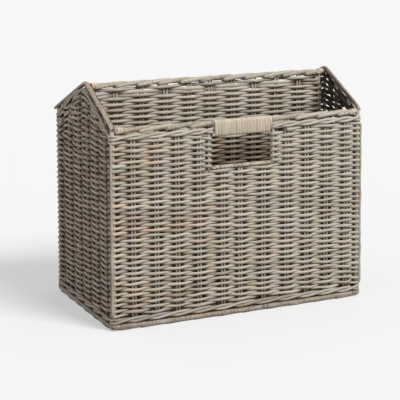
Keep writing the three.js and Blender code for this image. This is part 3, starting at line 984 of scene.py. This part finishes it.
def serpentine(
    shape: Shape,
    us: list[float],
    span: Pair,
    pitch: float,
    seed: int = 97,
    sides: int = 8,
    girth: float = 1.0,
) -> None:
    """Adds one strand that is woven to and fro up a panel.

    Args:
        shape: the piece to add to.
        us: where the columns stand; it turns back round the first and the last.
        span: the heights of the panel's edges.
        pitch: the height of a row.
        seed: sets its tints and its drift.
        sides: faces round the strand.
        girth: its thickness against that of a common weaver.
    """
    count = round((span[1] - span[0]) / pitch)
    step = (span[1] - span[0]) / count
    parts, tints = [], []
    halves = [0.0] + [WEAVE.pair] * (len(us) - 2) + [0.0]
    dice = np.random.default_rng(seed)
    for row in range(count):
        height, way = span[0] + step * (row + 0.5), -1 if row % 2 else 1
        ns = WEAVE.depths([(row + c) % 2 == 0 for c in range(len(us))])
        run = WEAVE.run(us, ns, [height] * len(us), halves)[::way]
        tones = np.resize(np.repeat(dice.uniform(0, 1, 12), 10), len(run))
        parts.append(run)
        tints.append(np.column_stack([tones, np.full(len(run), dice.uniform())]))
        if row < count - 1:
            turn = WEAVE.turn(run[-1, 0], run[-1, 1], height, height + step, float(way))
            parts.append(turn)
            tints.append(np.full((len(turn), 2), 0.5))
    path, tint = np.vstack(parts), np.vstack(tints)
    steps = np.arange(len(path)) * 6.0
    path[:, 2] += Drift(dice, 0.3)(shape.wall, steps)
    swell = girth + Drift(dice, 0.06)(shape.wall, steps)
    radii = np.outer(swell, (WEAVE.radius, WEAVE.across))
    shape.rod(Rod(path, radii, tint[:, 0], tint[:, 1], sides=sides))


# ---------------------------------------------------------------- borders


@dataclass(frozen=True)
class Wale:
    """Three rods that pass outside two columns and inside the third, and climb as they go."""

    rise: float = 4.8
    radius: float = 2.2
    flatness: float = 0.96
    reach: float = 3.3
    tone: float = 0.3
    seed: int = 700
    strands: int = 13

    def rods(self, shape: Shape, columns: Columns, heights: list[float]) -> None:
        """Adds the three rods of one wall.

        Args:
            shape: the piece to add to.
            columns: the columns that they pass.
            heights: the wale's middle at each.
        """
        spreads = np.hypot(1.0, np.gradient(heights, columns.us))
        spreads[[0, -1]] = 1.0
        for rod in range(3):
            phases = (columns.first + np.arange(len(heights)) - rod) % 3
            lifts = np.array([0.0, -self.rise / 2, self.rise / 2])[phases]
            path, (before, after), _ = columns.path(shape.wall.half, phases != 0, heights + lifts * spreads)
            dice = np.random.default_rng(self.seed + rod)
            count = 3 * self.strands + 1
            tones = dice.uniform(self.tone, self.tone + 0.7, count)
            warmths = dice.uniform(0.3, 1.0, count)
            nearest = np.abs(np.subtract.outer(path[:, 0], columns.us)).argmin(1)
            picks = (columns.first + nearest - rod) // 3 % self.strands * 3 + rod
            closing = 1 + shape.wall.full * ramp(path[:, 1], 0.0, -self.reach)
            radii = np.column_stack([closing, np.full(len(path), self.flatness)]) * self.radius
            shape.rod(Rod(path, radii, tones[picks], warmths[picks], before, after))


def smooth_through(knots: np.ndarray, steps: int) -> np.ndarray:
    """A smooth path through knots, by Catmull and Rom's rule.

    Args:
        knots: places to pass, one a row.
        steps: parts between two knots.

    Returns:
        The path, ends included.
    """
    padded = np.vstack([2 * knots[0] - knots[1], knots, 2 * knots[-1] - knots[-2]])
    t = (np.arange(steps) / steps)[:, None]
    parts = []
    for a, b, c, d in zip(padded, padded[1:], padded[2:], padded[3:]):
        square, cube = 2 * a - 5 * b + 4 * c - d, 3 * b - a - 3 * c + d
        parts.append((2 * b + (c - a) * t + square * t**2 + cube * t**3) / 2)
    return np.vstack([*parts, knots[-1]])


@dataclass(frozen=True)
class LappedBorder:
    """A border of flat stake ends, each of which starts low in front and slips under the next one.

    section is the way of one end: its share of the run, how far out it is, and its height.
    """

    pitch: float = 37.0
    run: float = 58.0
    radii: Pair = (2.9, 1.9)
    bare: float = 0.45
    worn: float = 0.84
    corner: float = 0.0
    corner_rise: float = 3.2
    dim: float = 0.0
    # painted shade at the start of each lap, in the notch where it begins: how much darker, and how far it
    # reaches
    notch_shade: Pair = (1.5, 5.0)
    jitter: Pair = (3.0, 0.35)
    section: tuple[Triple, ...] = (
        (0.0, 1.0, -2.9),
        (0.1, 3.2, -2.4),
        (0.35, 3.3, -0.8),
        (0.62, 2.7, 0.9),
        (0.85, 1.2, 1.8),
        (1.0, -0.4, 1.6),
    )

    def rods(self, shape: Shape, start: float, end: float, centre: float) -> None:
        """Adds the border's rods between two places, on both faces of the wall.

        Args:
            shape: the piece to add to.
            start: where the border starts along the wall.
            end: where it ends.
            centre: the height of its middle.
        """
        dice, (shift, lift), (darker, reach) = shape.dice, self.jitter, self.notch_shade
        count = max(1, round((end - start) / self.pitch))
        for face in (1.0, -1.0):
            for k in range(-1, count):
                tip = start + k * (end - start) / count + dice.uniform(-shift, shift)
                knots = np.array(self.section) * (self.run, face, 1.0) + (tip, 0.0, centre)
                path = smooth_through(knots, 4)
                path = path[(path[:, 0] >= start + 1) & (path[:, 0] <= end - 1)]
                if len(path) < 4:
                    continue
                if self.corner:
                    near = (np.abs(path[:, 0]) - shape.wall.half) / self.corner + 1.0
                    near = np.clip(near, 0.0, 1.2) ** 2 * self.corner_rise
                    path[:, 1:] += np.outer(near, (-face, 1.0))
                girth = np.clip(np.abs(path[:, 0] - path[0, 0]) / 3.0 + 0.35, 0, 1) ** 0.5
                radii = np.outer(girth * dice.uniform(0.93, 1.04), self.radii)
                tone, warmth = dice.uniform(0.0, 0.9) - self.dim, dice.uniform(0, 1)
                path[:, 2] += dice.uniform(-lift, lift)
                # painted shade in the notch at the start of the lap
                tone = tone - darker * np.clip(1 - np.abs(path[:, 0] - tip) / reach, 0, 1)
                shape.rod(Rod(path, radii, tone, warmth, axis=centre, bare=self.bare, worn=self.worn))


RIM_BORDER = LappedBorder()
FOOT_BORDER = LappedBorder(
    pitch=42.0,
    run=64.0,
    radii=(3.2, 2.1),
    bare=0.2,
    worn=0.58,
    corner=16.0,
    dim=0.3,
    section=((0.0, 0.6, -1.6), (0.08, 3.0, -1.6), (0.35, 3.1, -0.6), (0.7, 2.3, 0.4), (1.0, 0.2, 0.8)),
)


@dataclass(frozen=True)
class Winding:
    """A flat peel wound round a core with rounded corners."""

    width: float
    height: float
    corner: float
    half_peel: float = 2.0
    thickness: float = 0.7
    uneven: float = 0.0

    def outline(self, steps: int) -> np.ndarray:
        """Points round the core, from the top of its front downwards.

        Args:
            steps: points on each corner.

        Returns:
            Pairs (n, v) from the core's middle.
        """
        points = []
        for quarter, (across, up) in enumerate(((1, -1), (-1, -1), (-1, 1), (1, 1))):
            angles = -np.pi / 2 * (quarter + np.arange(steps) / (steps - 1))
            n = across * (self.width / 2 - self.corner) + self.corner * np.cos(angles)
            v = up * (self.height / 2 - self.corner) + self.corner * np.sin(angles)
            points.append(np.column_stack([n, v]))
        return np.vstack(points)

    def peel(self, shape: Shape, start: float, end: float, centre: float, tints: np.ndarray) -> None:
        """Adds the peel as one unbroken strip.

        Args:
            shape: the piece to add to.
            start: where the winding starts.
            end: where it ends.
            centre: the height of the core's middle.
            tints: a tone and a warmth for each of its turns.
        """
        outline, loops = self.outline(4), len(tints)
        ranks = np.arange(loops * len(outline) + 1)
        steps = 1 + self.uneven * np.repeat(shape.dice.uniform(-1, 1, loops), len(outline))
        share = np.append(0.0, np.cumsum(steps)) / steps.sum()
        u = start + self.half_peel + (end - start - 2 * self.half_peel) * share
        path = np.column_stack([u, outline[ranks % len(outline)] + (0.0, centre)])
        tone, warmth = tints[np.minimum(ranks // len(outline), loops - 1)].T
        radii = (self.half_peel, self.thickness)
        shape.rod(Rod(path, radii, tone, warmth, side=(1.0, 0.0, 0.0), axis=centre))


# ---------------------------------------------------------------- sub-assemblies


@dataclass(frozen=True)
class Stakes:
    """The upright pairs of a wall."""

    mould: Mould
    radius: float = 1.65
    spacing: float = 4.75
    bare: float = 0.66

    def pairs(self, shape: Shape, us: list[float], low: float, tops: list[float]) -> None:
        """Adds a pair of stakes at each column.

        Args:
            shape: the piece to add to.
            us: where the columns stand.
            low: the height of their feet.
            tops: the height of the top of each.
        """
        # painted shade on the divider's stakes, from its low-down amount, all along them
        bare = self.bare - 0.5 * shape.wall.sunk_shade
        for u, top in zip(us, tops):
            for hand in (-0.5, 0.5):
                tone = shape.dice.uniform(0.4, 0.9)
                shape.cast(self.mould, (u + hand * self.spacing, 0), (low, top), self.radius, tone, bare)


@dataclass
class OuterWall:
    """What the four outer walls share: columns, a wale on the foot, and the foot border."""

    wall: Wall
    first: int
    weaving: Weaving
    mould: Mould
    foot_middle: float = 4.4

    def lay_out(self, stakes: list[float]) -> None:
        """Keeps the places of the stakes, and of the columns with the corners."""
        self.stakes = stakes
        self.columns = Columns([-self.wall.half, *stakes, self.wall.half], self.first)

    def name(self, part: str) -> str:
        """The full name of one of the wall's parts."""
        return f"{self.wall.name}_{part}"

    def shape(self, seed: int) -> Shape:
        """Starts a piece whose chances differ from those of the other walls."""
        return Shape(self.wall, seed + self.first)

    def lower_wale(self, seed: int) -> None:
        """Builds the wale on the foot.

        Args:
            seed: sets its chances.
        """
        shape, part = self.shape(seed), self.name("lower_wale")
        Wale(tone=-0.25).rods(shape, self.columns, [middle(part, 2)] * len(self.columns.us))
        shape.finish(f"{part}_rods", Slot.WALE, part)

    def foot(self) -> None:
        """Builds the foot border and its core, which rises a little round the corners."""
        shape, half, centre = self.shape(37), self.wall.half, self.foot_middle
        FOOT_BORDER.rods(shape, 1 - half, half - 1, centre)
        ends = Columns([-half, half], self.first)
        path, (before, after), _ = ends.path(half, [True, True], [centre, centre])
        path[:, 1] -= 1.2
        path[:, 2] += np.clip((np.abs(path[:, 0]) - half) / 8.0 + 1.0, 0.0, 1.6) ** 2 * 1.6
        bare, worn = FOOT_BORDER.bare, FOOT_BORDER.worn
        shape.rod(Rod(path, (3.9, 3.4), 0.2, 0.5, before, after, axis=centre, bare=bare, worn=worn))
        shape.finish(self.name("foot_rods"), Slot.BORDER, self.name("foot_border"))


@dataclass
class LongWall(OuterWall):
    """The front or the back wall: level, with a hand hole under a wound grip."""

    post_inset: float = 5.4
    post_radius: float = 2.4
    post_gap: float = 4.0
    sill_height: float = 6.0
    sill_loops: int = 15
    grip_height: float = 25.0
    grip_depth: float = 12.5
    grip_turns: int = 22
    rim_height: float = 9.3

    def __post_init__(self) -> None:
        """Lays out the columns, the posts beside the hand hole and the rim."""
        self.lay_out(spread(LONG_SHARES, 2 * SIZES.half_length))
        self.posts = (SIZES.hole_left - self.post_inset, SIZES.hole_right + self.post_inset)
        self.centre = SIZES.eaves - self.rim_height / 2

    def build(self) -> None:
        """Builds all the pieces of the wall."""
        self.weave()
        self.uprights()
        self.wales()
        self.rim()
        self.grip()
        self.sill()
        self.foot()

    def flanks(self, left: float, right: float) -> list[tuple[str, Columns]]:
        """The columns on either side of the hand hole, each side with one more beside the hole.

        Args:
            left: where the last column on the left stands.
            right: where the first one on the right stands.

        Returns:
            The hand and the columns of each side.
        """
        us, (left_post, right_post) = self.columns.us, self.posts
        before = [u for u in us if u < left_post - self.post_gap]
        after = [u for u in us if u > right_post + self.post_gap]
        first = self.first + len(us) - len(after) - 1
        return [
            ("left", Columns([*before, left], self.first, (True, False))),
            ("right", Columns([right, *after], first, (False, True))),
        ]

    def weave(self) -> None:
        """Rows up to the sill, and the flanks beside the hand hole."""
        shape = self.shape(1)
        for row in range(SIZES.field_rows):
            heights = [SIZES.row_height(row)] * len(self.columns.us)
            self.weaving.level_row(shape, row, self.columns, heights)
        shape.finish(self.name("woven_rows"), Slot.WEAVER, self.name("weave_field"))
        top = SIZES.rows - 1
        for hand, columns in self.flanks(*self.posts):
            shape = self.shape(5)
            for row in range(SIZES.field_rows, top, 2):
                self.weaving.hole_pair(shape, row, columns)
            inner = columns.part(0, -1) if hand == "left" else columns.part(1)
            self.weaving.level_row(shape, top, inner, [SIZES.row_height(top)] * len(inner.us))
            shape.finish(self.name(f"flank_rows_{hand}"), Slot.WEAVER, self.name(f"weave_flank_{hand}"))

    def uprights(self) -> None:
        """The stakes and the posts beside the hand hole."""
        shape, (left, right) = self.shape(9), self.posts
        under, full = SIZES.flank_bottom + SIZES.stake_tuck, SIZES.eaves - SIZES.stake_tuck
        tops = [under if left < u < right else full for u in self.stakes]
        Stakes(self.mould).pairs(shape, self.stakes, SIZES.stake_foot, tops)
        nodes = ("weave_field", "weave_flank_left", "weave_flank_right")
        shape.finish(self.name("stakes"), Slot.STAKE, *map(self.name, nodes))
        for hand, u in zip(("left", "right"), self.posts):
            post, part = Shape(self.wall, 11), self.name(f"hole_post_{hand}")
            span = (SIZES.flank_bottom - 4, SIZES.flank_top + 6)
            post.cast(self.mould, (u, 0), span, self.post_radius, tone=0.6, bare=0.7)
            post.finish(f"{part}_rod", Slot.STAKE, part)

    def wales(self) -> None:
        """The wale on the foot, and the one under the rim on either side of the grip."""
        self.lower_wale(13)
        height = middle(self.name("upper_wale_left"), 2)
        for hand, columns in self.flanks(SIZES.hole_left - 3.0, SIZES.hole_right + 3.0):
            shape, part = self.shape(17), self.name(f"upper_wale_{hand}")
            Wale().rods(shape, columns, [height] * len(columns.us))
            shape.finish(f"{part}_rods", Slot.WALE, part)

    def rim(self) -> None:
        """The rolled rim, its core through the grip, and its end bindings."""
        shape, half = self.shape(19), self.wall.half - 1.0
        RIM_BORDER.rods(shape, -half, SIZES.hole_left, self.centre)
        RIM_BORDER.rods(shape, SIZES.hole_right, half, self.centre)
        shape.rod(core(-half, half, self.centre, (3.9, 3.4), 40, self.centre))
        shape.finish(self.name("rim_rods"), Slot.BORDER, self.name("rim"))
        for hand in ("left", "right"):
            part = self.name(f"rim_binding_{hand}")
            span = sorted(place * self.wall.along[0] for place in extent(part, 0))
            shape = Shape(self.wall, 21)
            tints = shape.draw(2, (0.5, 1.0), (0.2, 0.8))
            Winding(9.2, self.rim_height - 1.0, 3.6).peel(shape, *span, self.centre, tints)
            shape.finish(f"{part}_peel", Slot.PEEL, part)

    def grip(self) -> None:
        """The wound grip and the rods that fill it."""
        centre = SIZES.eaves - self.grip_height / 2
        shape, part = Shape(self.wall, 23), self.name("grip_winding")
        tints = shape.draw(self.grip_turns, (0.55, 1.0), (0.0, 0.4))
        tints[:, 1] += np.linspace(0.1, 0.45, self.grip_turns)
        wound = Winding(self.grip_depth - 1.2, self.grip_height - 1.2, 4.0, half_peel=2.6, uneven=0.22)
        wound.peel(shape, SIZES.hole_left - 2.4, SIZES.hole_right + 1.8, centre, tints)
        shape.finish(f"{part}_peel", Slot.PEEL, part)
        filling = Shape(self.wall, 29)
        for height in (centre - 7.0, centre, centre + 7.0):
            filling.rod(core(SIZES.hole_left + 0.2, SIZES.hole_right - 0.2, height, (4.2, 4.6), 12, centre))
        filling.finish(self.name("grip_filling"), Slot.BORDER, self.name("rim"))

    def sill(self) -> None:
        """The bound sill under the hand hole."""
        centre = SIZES.flank_bottom + self.sill_height / 2
        shape, part = Shape(self.wall, 31), self.name("hole_sill")
        tints = shape.draw(self.sill_loops, (0.0, 0.8), (0.1, 0.6))
        bound = Winding(7.4, self.sill_height - 1.6, 2.2, half_peel=3.1, thickness=0.6, uneven=0.25)
        bound.peel(shape, SIZES.hole_left - 1.5, SIZES.hole_right + 1.5, centre, tints)
        shape.rod(core(SIZES.hole_left - 3, SIZES.hole_right + 3, centre, (1.9, 3.3), 12, centre))
        shape.finish(f"{part}_peel", Slot.PEEL, part)


@dataclass
class EndWall(OuterWall):
    """A pointed end wall, whose rows arch towards its point.

    early and late are the first and the last column of each pair of short rows, between the
    arched rows and over them. wale_gaps are the wale's distances from the rim: behind the point,
    at it and ahead of it. overhang is how far the rim reaches past the back and the front.
    """

    hand: float = 1.0
    rim_half: float = 2.8
    wale_gaps: Triple = (-2.6, 3.6, 3.2)
    wale_height: float = 10.0
    wale_overlap: float = 1.2
    rounding: float = 6.0
    overhang: Pair = (9.0, 0.5)
    tuck: float = 0.0
    turn_share: float = 0.65
    level_rows: int = 54
    early: tuple[tuple[int, int], ...] = ((1, 4),)
    late: tuple[tuple[int, int], ...] = ((2, 5), (2, 4), (2, 3), (1, 4), (1, 5))

    def __post_init__(self) -> None:
        """Lays out the columns and the point."""
        self.lay_out(spread(END_SHARES, 2 * SIZES.half_depth, self.hand))
        self.point = self.hand * SIZES.forward

    def slope(self, u: float, rounding: float = 0.0) -> float:
        """The height of the rim's middle over a place along the wall.

        Args:
            u: the place.
            rounding: how far the point is rounded.

        Returns:
            The height.
        """
        reach = SIZES.half_depth + (self.point if u < self.point else -self.point)
        away = math.hypot(u - self.point, rounding) - rounding
        return SIZES.apex - self.rim_half - (SIZES.apex - SIZES.eaves) * away / reach

    def wale_middle(self, u: float) -> float:
        """The height of the wale's middle over a place along the wall.

        Args:
            u: the place.

        Returns:
            The height.
        """
        behind, gap, ahead = self.wale_gaps
        if abs(u - self.point) > 1:
            gap = ahead if (u > self.point) == (self.hand > 0) else behind
        return self.slope(u) - self.rim_half - gap - self.wale_height / 2

    def build(self) -> None:
        """Builds all the pieces of the wall."""
        self.weave()
        self.uprights()
        self.wales()
        self.rim()
        self.foot()

    def row_order(self) -> list[tuple[int, int]]:
        """The first and last column of every row, from the lowest up.

        Returns:
            A pair of column ranks for each row.
        """
        last = len(self.stakes) + 1
        early, late = (
            [(low, high) if self.hand > 0 else (last - high, last - low) for low, high in spans]
            for spans in (self.early, self.late)
        )
        order = [(0, last)] * self.level_rows
        for k in range(SIZES.rows - self.level_rows):
            order.append((0, last))
            if k % 4 == 2 and k // 4 < len(early):
                order += [early[k // 4]] * 2
        return order + [span for span in late for _ in range(2)]

    def weave(self) -> None:
        """Level rows, then arched ones with pairs of short rows between them."""
        drop = self.wale_height / 2 - self.wale_overlap
        tops = [SIZES.flank_top, *(self.wale_middle(u) - drop for u in self.stakes), SIZES.flank_top]
        order, us = self.row_order(), self.columns.us
        arched = order[self.level_rows :]
        counts = [sum(low <= c <= high for low, high in arched) for c in range(len(us))]
        base = (SIZES.row_height(self.level_rows - 1) + SIZES.row_height(self.level_rows)) / 2
        passed = [0] * len(us)
        shape = self.shape(43)
        full, spare, waiting = 0, 0, None
        for low, high in order:
            heights = []
            for c in range(low, high + 1):
                above = passed[c] - self.level_rows + 0.5
                arch = base + (tops[c] - base) * above / counts[c]
                heights.append(arch if above > 0 else SIZES.row_height(passed[c]))
                passed[c] += 1
            if low == 0:
                heights[0] = heights[-1] = SIZES.row_height(full)
                self.weaving.level_row(shape, full, self.columns, heights)
                full += 1
            elif waiting is None:
                waiting = heights
            else:
                tails = [self.turn_share * (us[k + 1] - us[k]) - WEAVE.pair for k in (low - 1, high)]
                columns = self.columns.part(low, high + 1)
                self.weaving.short_pair(shape, full, spare, columns, (waiting, heights), tails)
                spare, waiting = spare + 1, None
        shape.finish(self.name("woven_rows"), Slot.WEAVER, self.name("gable_weave"))

    def uprights(self) -> None:
        """The stakes, up into the rim."""
        shape = self.shape(47)
        Stakes(self.mould).pairs(shape, self.stakes, SIZES.stake_foot, [self.slope(u) for u in self.stakes])
        shape.finish(self.name("stakes"), Slot.STAKE, self.name("gable_weave"))

    def wales(self) -> None:
        """The wale on the foot and the one along the slopes."""
        self.lower_wale(53)
        corner = middle("front_upper_wale_left", 2)
        heights = [corner, *map(self.wale_middle, self.stakes), corner]
        shape = self.shape(59)
        Wale(rise=4.6, radius=2.05, tone=0.1).rods(shape, self.columns, heights)
        shape.finish(self.name("gable_wale_rods"), Slot.WALE, self.name("gable_wale"))

    def rim(self) -> None:
        """A bundle of three smooth rods over the point, with rounded ends that droop."""
        shape = self.shape(61)
        behind, ahead = (SIZES.half_depth + over for over in self.overhang)
        low, high = (-behind, ahead) if self.hand > 0 else (-ahead, behind)
        close = np.array([0.25, 0.9, 2.2])
        bend = self.point + np.array([-9, -4.5, 0, 4.5, 9])
        us = np.unique(np.concatenate([np.linspace(low, high, 34), bend, low + close, high - close]))
        heights = np.array([self.slope(u, self.rounding) for u in us])
        left = np.minimum(us - low, high - us)
        back = high - us if self.hand > 0 else us - low
        droop = ramp(left, 8, 0) ** 2 * 1.5 + ramp(back, 10, 0) ** 2 * self.tuck
        ends = np.sqrt(np.clip(1 - ramp(left, 2.2, 0) ** 2, 0.12, 1))
        bundle = ((1.9, -0.5, 2.15, 0.55), (-1.9, -0.5, 2.15, 0.35), (0.1, 0.9, 1.9, 0.5))
        for n, rise, radius, tone in bundle:
            path = np.column_stack([us, n + 0.4 * droop, heights + rise - droop])
            radii = np.outer(ends, (radius, radius))
            shape.rod(Rod(path, radii, tone, 0.85, axis=heights, bare=0.55))
        shape.finish(self.name("gable_rim_rods"), Slot.BORDER, self.name("gable_rim"))


@dataclass
class MiddleWall:
    """The divider: one strand woven to and fro, rows of another over it, and a rail."""

    mould: Mould
    pitch: float = 4.2
    top_pitch: float = 4.45
    top_girth: float = 1.14
    top_gap: float = 8.0
    rail_height: float = 9.0
    rail_reach: float = 4.0
    post_radius: float = 2.4

    def build(self) -> None:
        """Builds all the pieces of the divider."""
        reach = extent("divider_post_right", 0)[1] - WEAVE.reach - WEAVE.radius
        stakes = spread(DIVIDER_SHARES, 2 * SIZES.half_length)
        low, high = extent("divider_weave", 2)
        rail = SIZES.rail_top - self.rail_height / 2
        shape = Shape(DIVIDER, 67)
        serpentine(shape, [-reach, *stakes, reach], (low, high), self.pitch)
        shape.finish("divider_woven_rows", Slot.WEAVER, "divider_weave")
        shape = Shape(DIVIDER, 71)
        Stakes(self.mould).pairs(shape, stakes, low, [rail] * len(stakes))
        shape.finish("divider_stakes", Slot.STAKE, "divider_weave")
        for hand, u in (("left", -reach), ("right", reach)):
            shape, part = Shape(DIVIDER, 73), f"divider_post_{hand}"
            shape.cast(self.mould, (u, 0), (low, rail), self.post_radius, tone=0.5, bare=0.6)
            shape.finish(f"{part}_rod", Slot.STAKE, part)

        shape, us = Shape(DIVIDER, 79), [-reach, *stakes, reach - self.top_gap]
        serpentine(shape, us, extent("divider_wale", 2), self.top_pitch, girth=self.top_girth)
        shape.finish("divider_top_rows", Slot.WALE, "divider_wale")

        shape, end = Shape(DIVIDER, 83), reach + self.rail_reach
        RIM_BORDER.rods(shape, -end, end, rail)
        shape.rod(core(-end, end, rail, (3.8, 3.3), 40, rail))
        shape.finish("divider_rail_rods", Slot.BORDER, "divider_rail")
        for hand in ("left", "right"):
            shape, part = Shape(DIVIDER, 89), f"apex_binding_{hand}"
            tints = shape.draw(2, (0.6, 1.0), (0.6, 1.0))
            Winding(9.4, self.rail_height - 0.6, 3.6).peel(shape, *extent(part, 0), rail, tints)
            shape.finish(f"{part}_peel", Slot.PEEL, part)


@dataclass
class BasePanel:
    """The woven base inside the foot."""

    mould: Mould
    pitch: float = 4.3

    def build(self) -> None:
        """Builds the base's weaving and its sticks."""
        low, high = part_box("base_weave")
        span, side = (low[0] / MM, high[0] / MM), high[1] / MM
        lying = Wall("base", (0, 0, (low[2] + high[2]) / 2 / MM), (0, 1, 0), (0, 0, -1), (1, 0, 0))
        reach = side - WEAVE.reach - WEAVE.radius
        us = [-reach, *spread(BASE_SHARES, 2 * side), reach]
        shape = Shape(lying, 101)
        serpentine(shape, us, span, self.pitch, sides=6)
        shape.finish("base_woven_rows", Slot.WEAVER, "base_weave")
        shape = Shape(lying, 103)
        Stakes(self.mould).pairs(shape, us, span[0], [span[1]] * len(us))
        shape.finish("base_sticks", Slot.STAKE, "base_weave")


@dataclass
class CornerPosts:
    """The four posts that the rows turn round, the front ones with a thin stake on the edge."""

    mould: Mould
    radius: float = 3.8
    inset: float = 0.5
    edge_radii: Pair = (2.8, 1.9)
    edge_reach: float = 3.0
    edge_steps: int = 26

    def build(self) -> None:
        """Builds the posts from the foot to the rim."""
        for wall, ends in ((FRONT, ("left", "right")), (BACK, ("right", "left"))):
            for side, hand in zip((-1, 1), ends):
                shape, node = Shape(wall, 107), f"corner_post_{wall.name}_{hand}"
                place = (side * (wall.half - self.inset), -self.inset)
                span = (SIZES.stake_foot, SIZES.eaves - SIZES.stake_tuck)
                shape.cast(self.mould, place, span, self.radius, tone=0.6, bare=0.55)
                if wall is FRONT:
                    self.edge(shape, side)
                shape.finish(f"{node}_rod", Slot.STAKE, node)

    def edge(self, shape: Shape, side: int) -> None:
        """Adds the thin stake on a front corner's edge, which bends in under the wales.

        Args:
            shape: the piece to add to.
            side: -1 for the corner at the wall's start, 1 for the one at its end.
        """
        steps, dice = self.edge_steps, shape.dice
        heights = np.linspace(SIZES.weave_bottom - 6.0, SIZES.flank_top + 6.0, steps)
        ends = np.minimum(heights - heights[0], heights[-1] - heights)
        out = self.edge_reach + dice.uniform(-0.35, 0.35, steps) - 5.0 * ramp(ends, 12.0, 0.0) ** 2
        path = np.column_stack([side * (shape.wall.half + out), out, heights])
        tones, warmths = dice.uniform(0.0, 0.65, steps), dice.uniform(0.3, 0.85, steps)
        radii = np.repeat(np.linspace(*self.edge_radii, steps)[:, None], 2, 1)
        look = {"side": (1.0, 0.0, 0.0), "axis": heights, "bare": 0.3, "worn": 0.72}
        shape.rod(Rod(path, radii, tones, warmths, **look))


@dataclass
class Studio:
    """A pale floor, soft light, and the camera at the photograph's angle."""

    eye: Triple = (-0.8810, -1.8644, 0.6276)
    azimuth: float = -24.96
    tilt: float = 12.92
    roll: float = -0.19
    pixels: float = 1318.5
    picture: float = 400.0
    sensor: float = 36.0
    clip: Pair = (0.05, 100.0)
    floor_size: float = 80.0
    backdrop: float = 0.917
    sky: float = 0.53
    sun: float = 3.1
    sun_angle: float = 25.0
    sun_place: Triple = (0.32, -0.62, 0.71)
    bounce: float = 0.33
    shown: float = 0.764
    glow: float = 0.45

    def build(self) -> None:
        """Builds the floor, the lights, the world and the camera."""
        self.floor()
        self.lights()
        self.camera()

    def floor(self) -> None:
        """A wide pale floor that keeps the basket's shadow."""
        bpy.ops.object.select_all(action="DESELECT")
        bpy.ops.mesh.primitive_plane_add(size=self.floor_size, location=(0, 0, 0))
        floor = bpy.context.active_object
        floor.name = "floor"
        material = bpy.data.materials.new("pale_floor")
        tree = Tree(material)
        seen = tree.add("ShaderNodeLightPath", out="Is Camera Ray")
        greys = ((self.bounce,) * 3 + (1.0,), (self.shown,) * 3 + (1.0,))
        dull, pale = (tree.add("ShaderNodeBsdfDiffuse", {0: grey}) for grey in greys)
        glow = tree.add("ShaderNodeEmission", {0: WHITE, 1: self.backdrop})
        bright = tree.add("ShaderNodeMixShader", {0: self.glow, 1: pale, 2: glow})
        mixed = tree.add("ShaderNodeMixShader", {0: seen, 1: dull, 2: bright})
        tree.node("ShaderNodeOutputMaterial", {0: mixed})
        floor.data.materials.append(material)

    def lights(self) -> None:
        """A wide sun from the right, and an even white sky."""
        lamp = bpy.data.lights.new("soft_sun", "SUN")
        lamp.energy, lamp.angle = self.sun, math.radians(self.sun_angle)
        sun = bpy.data.objects.new("soft_sun", lamp)
        sun.rotation_mode = "QUATERNION"
        sun.rotation_quaternion = Vector(self.sun_place).normalized().to_track_quat("Z", "Y")
        bpy.context.scene.collection.objects.link(sun)
        world = bpy.data.worlds.new("pale_studio")
        bpy.context.scene.world = world
        tree = Tree(world)
        path = tree.node("ShaderNodeLightPath")
        rays = [Wire(tree, path.outputs[f"Is {kind} Ray"]) for kind in ("Camera", "Glossy", "Transmission")]
        light = tree.add("ShaderNodeBackground", {0: WHITE, 1: self.sky})
        shown = tree.add("ShaderNodeBackground", {0: WHITE, 1: self.backdrop})
        mixed = tree.add("ShaderNodeMixShader", {0: rays[0] + rays[1] + rays[2], 1: light, 2: shown})
        tree.node("ShaderNodeOutputWorld", {0: mixed})

    def camera(self) -> None:
        """The camera, from the fit of the photograph."""
        azimuth, tilt, roll = (math.radians(a) for a in (self.azimuth, self.tilt, self.roll))
        level = math.cos(tilt)
        back = Vector((math.sin(azimuth) * level, -math.cos(azimuth) * level, math.sin(tilt)))
        right = Vector((math.cos(azimuth), math.sin(azimuth), 0))
        up = back.cross(right)
        turned = math.cos(roll) * right + math.sin(roll) * up
        upright = -math.sin(roll) * right + math.cos(roll) * up
        data = bpy.data.cameras.new("photo_camera")
        data.sensor_width = self.sensor
        data.lens = self.pixels / self.picture * self.sensor
        data.clip_start, data.clip_end = self.clip
        made = bpy.data.objects.new("photo_camera", data)
        axes = Matrix((turned, upright, back)).transposed().to_4x4()
        made.matrix_world = Matrix.Translation(self.eye) @ axes
        bpy.context.scene.collection.objects.link(made)
        bpy.context.scene.camera = made


def main() -> None:
    """Builds the basket and its studio."""
    logging.basicConfig(level=logging.INFO, format="%(message)s")
    scene = bpy.context.scene
    scene.view_settings.view_transform = "Standard"
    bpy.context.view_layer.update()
    weaving, rod, stick = Weaving(), Mould(10, 5), Mould(8, 3)
    builders = [
        LongWall(FRONT, 0, weaving, stick),
        EndWall(RIGHT, 12, weaving, stick, hand=-1.0, overhang=(3.0, -4.0), tuck=3.2),
        LongWall(BACK, 18, weaving, stick),
        EndWall(LEFT, 30, weaving, stick),
        MiddleWall(stick),
        BasePanel(stick),
        CornerPosts(rod),
        Studio(),
    ]
    for builder in builders:
        builder.build()


if __name__ == "__main__":
    main()
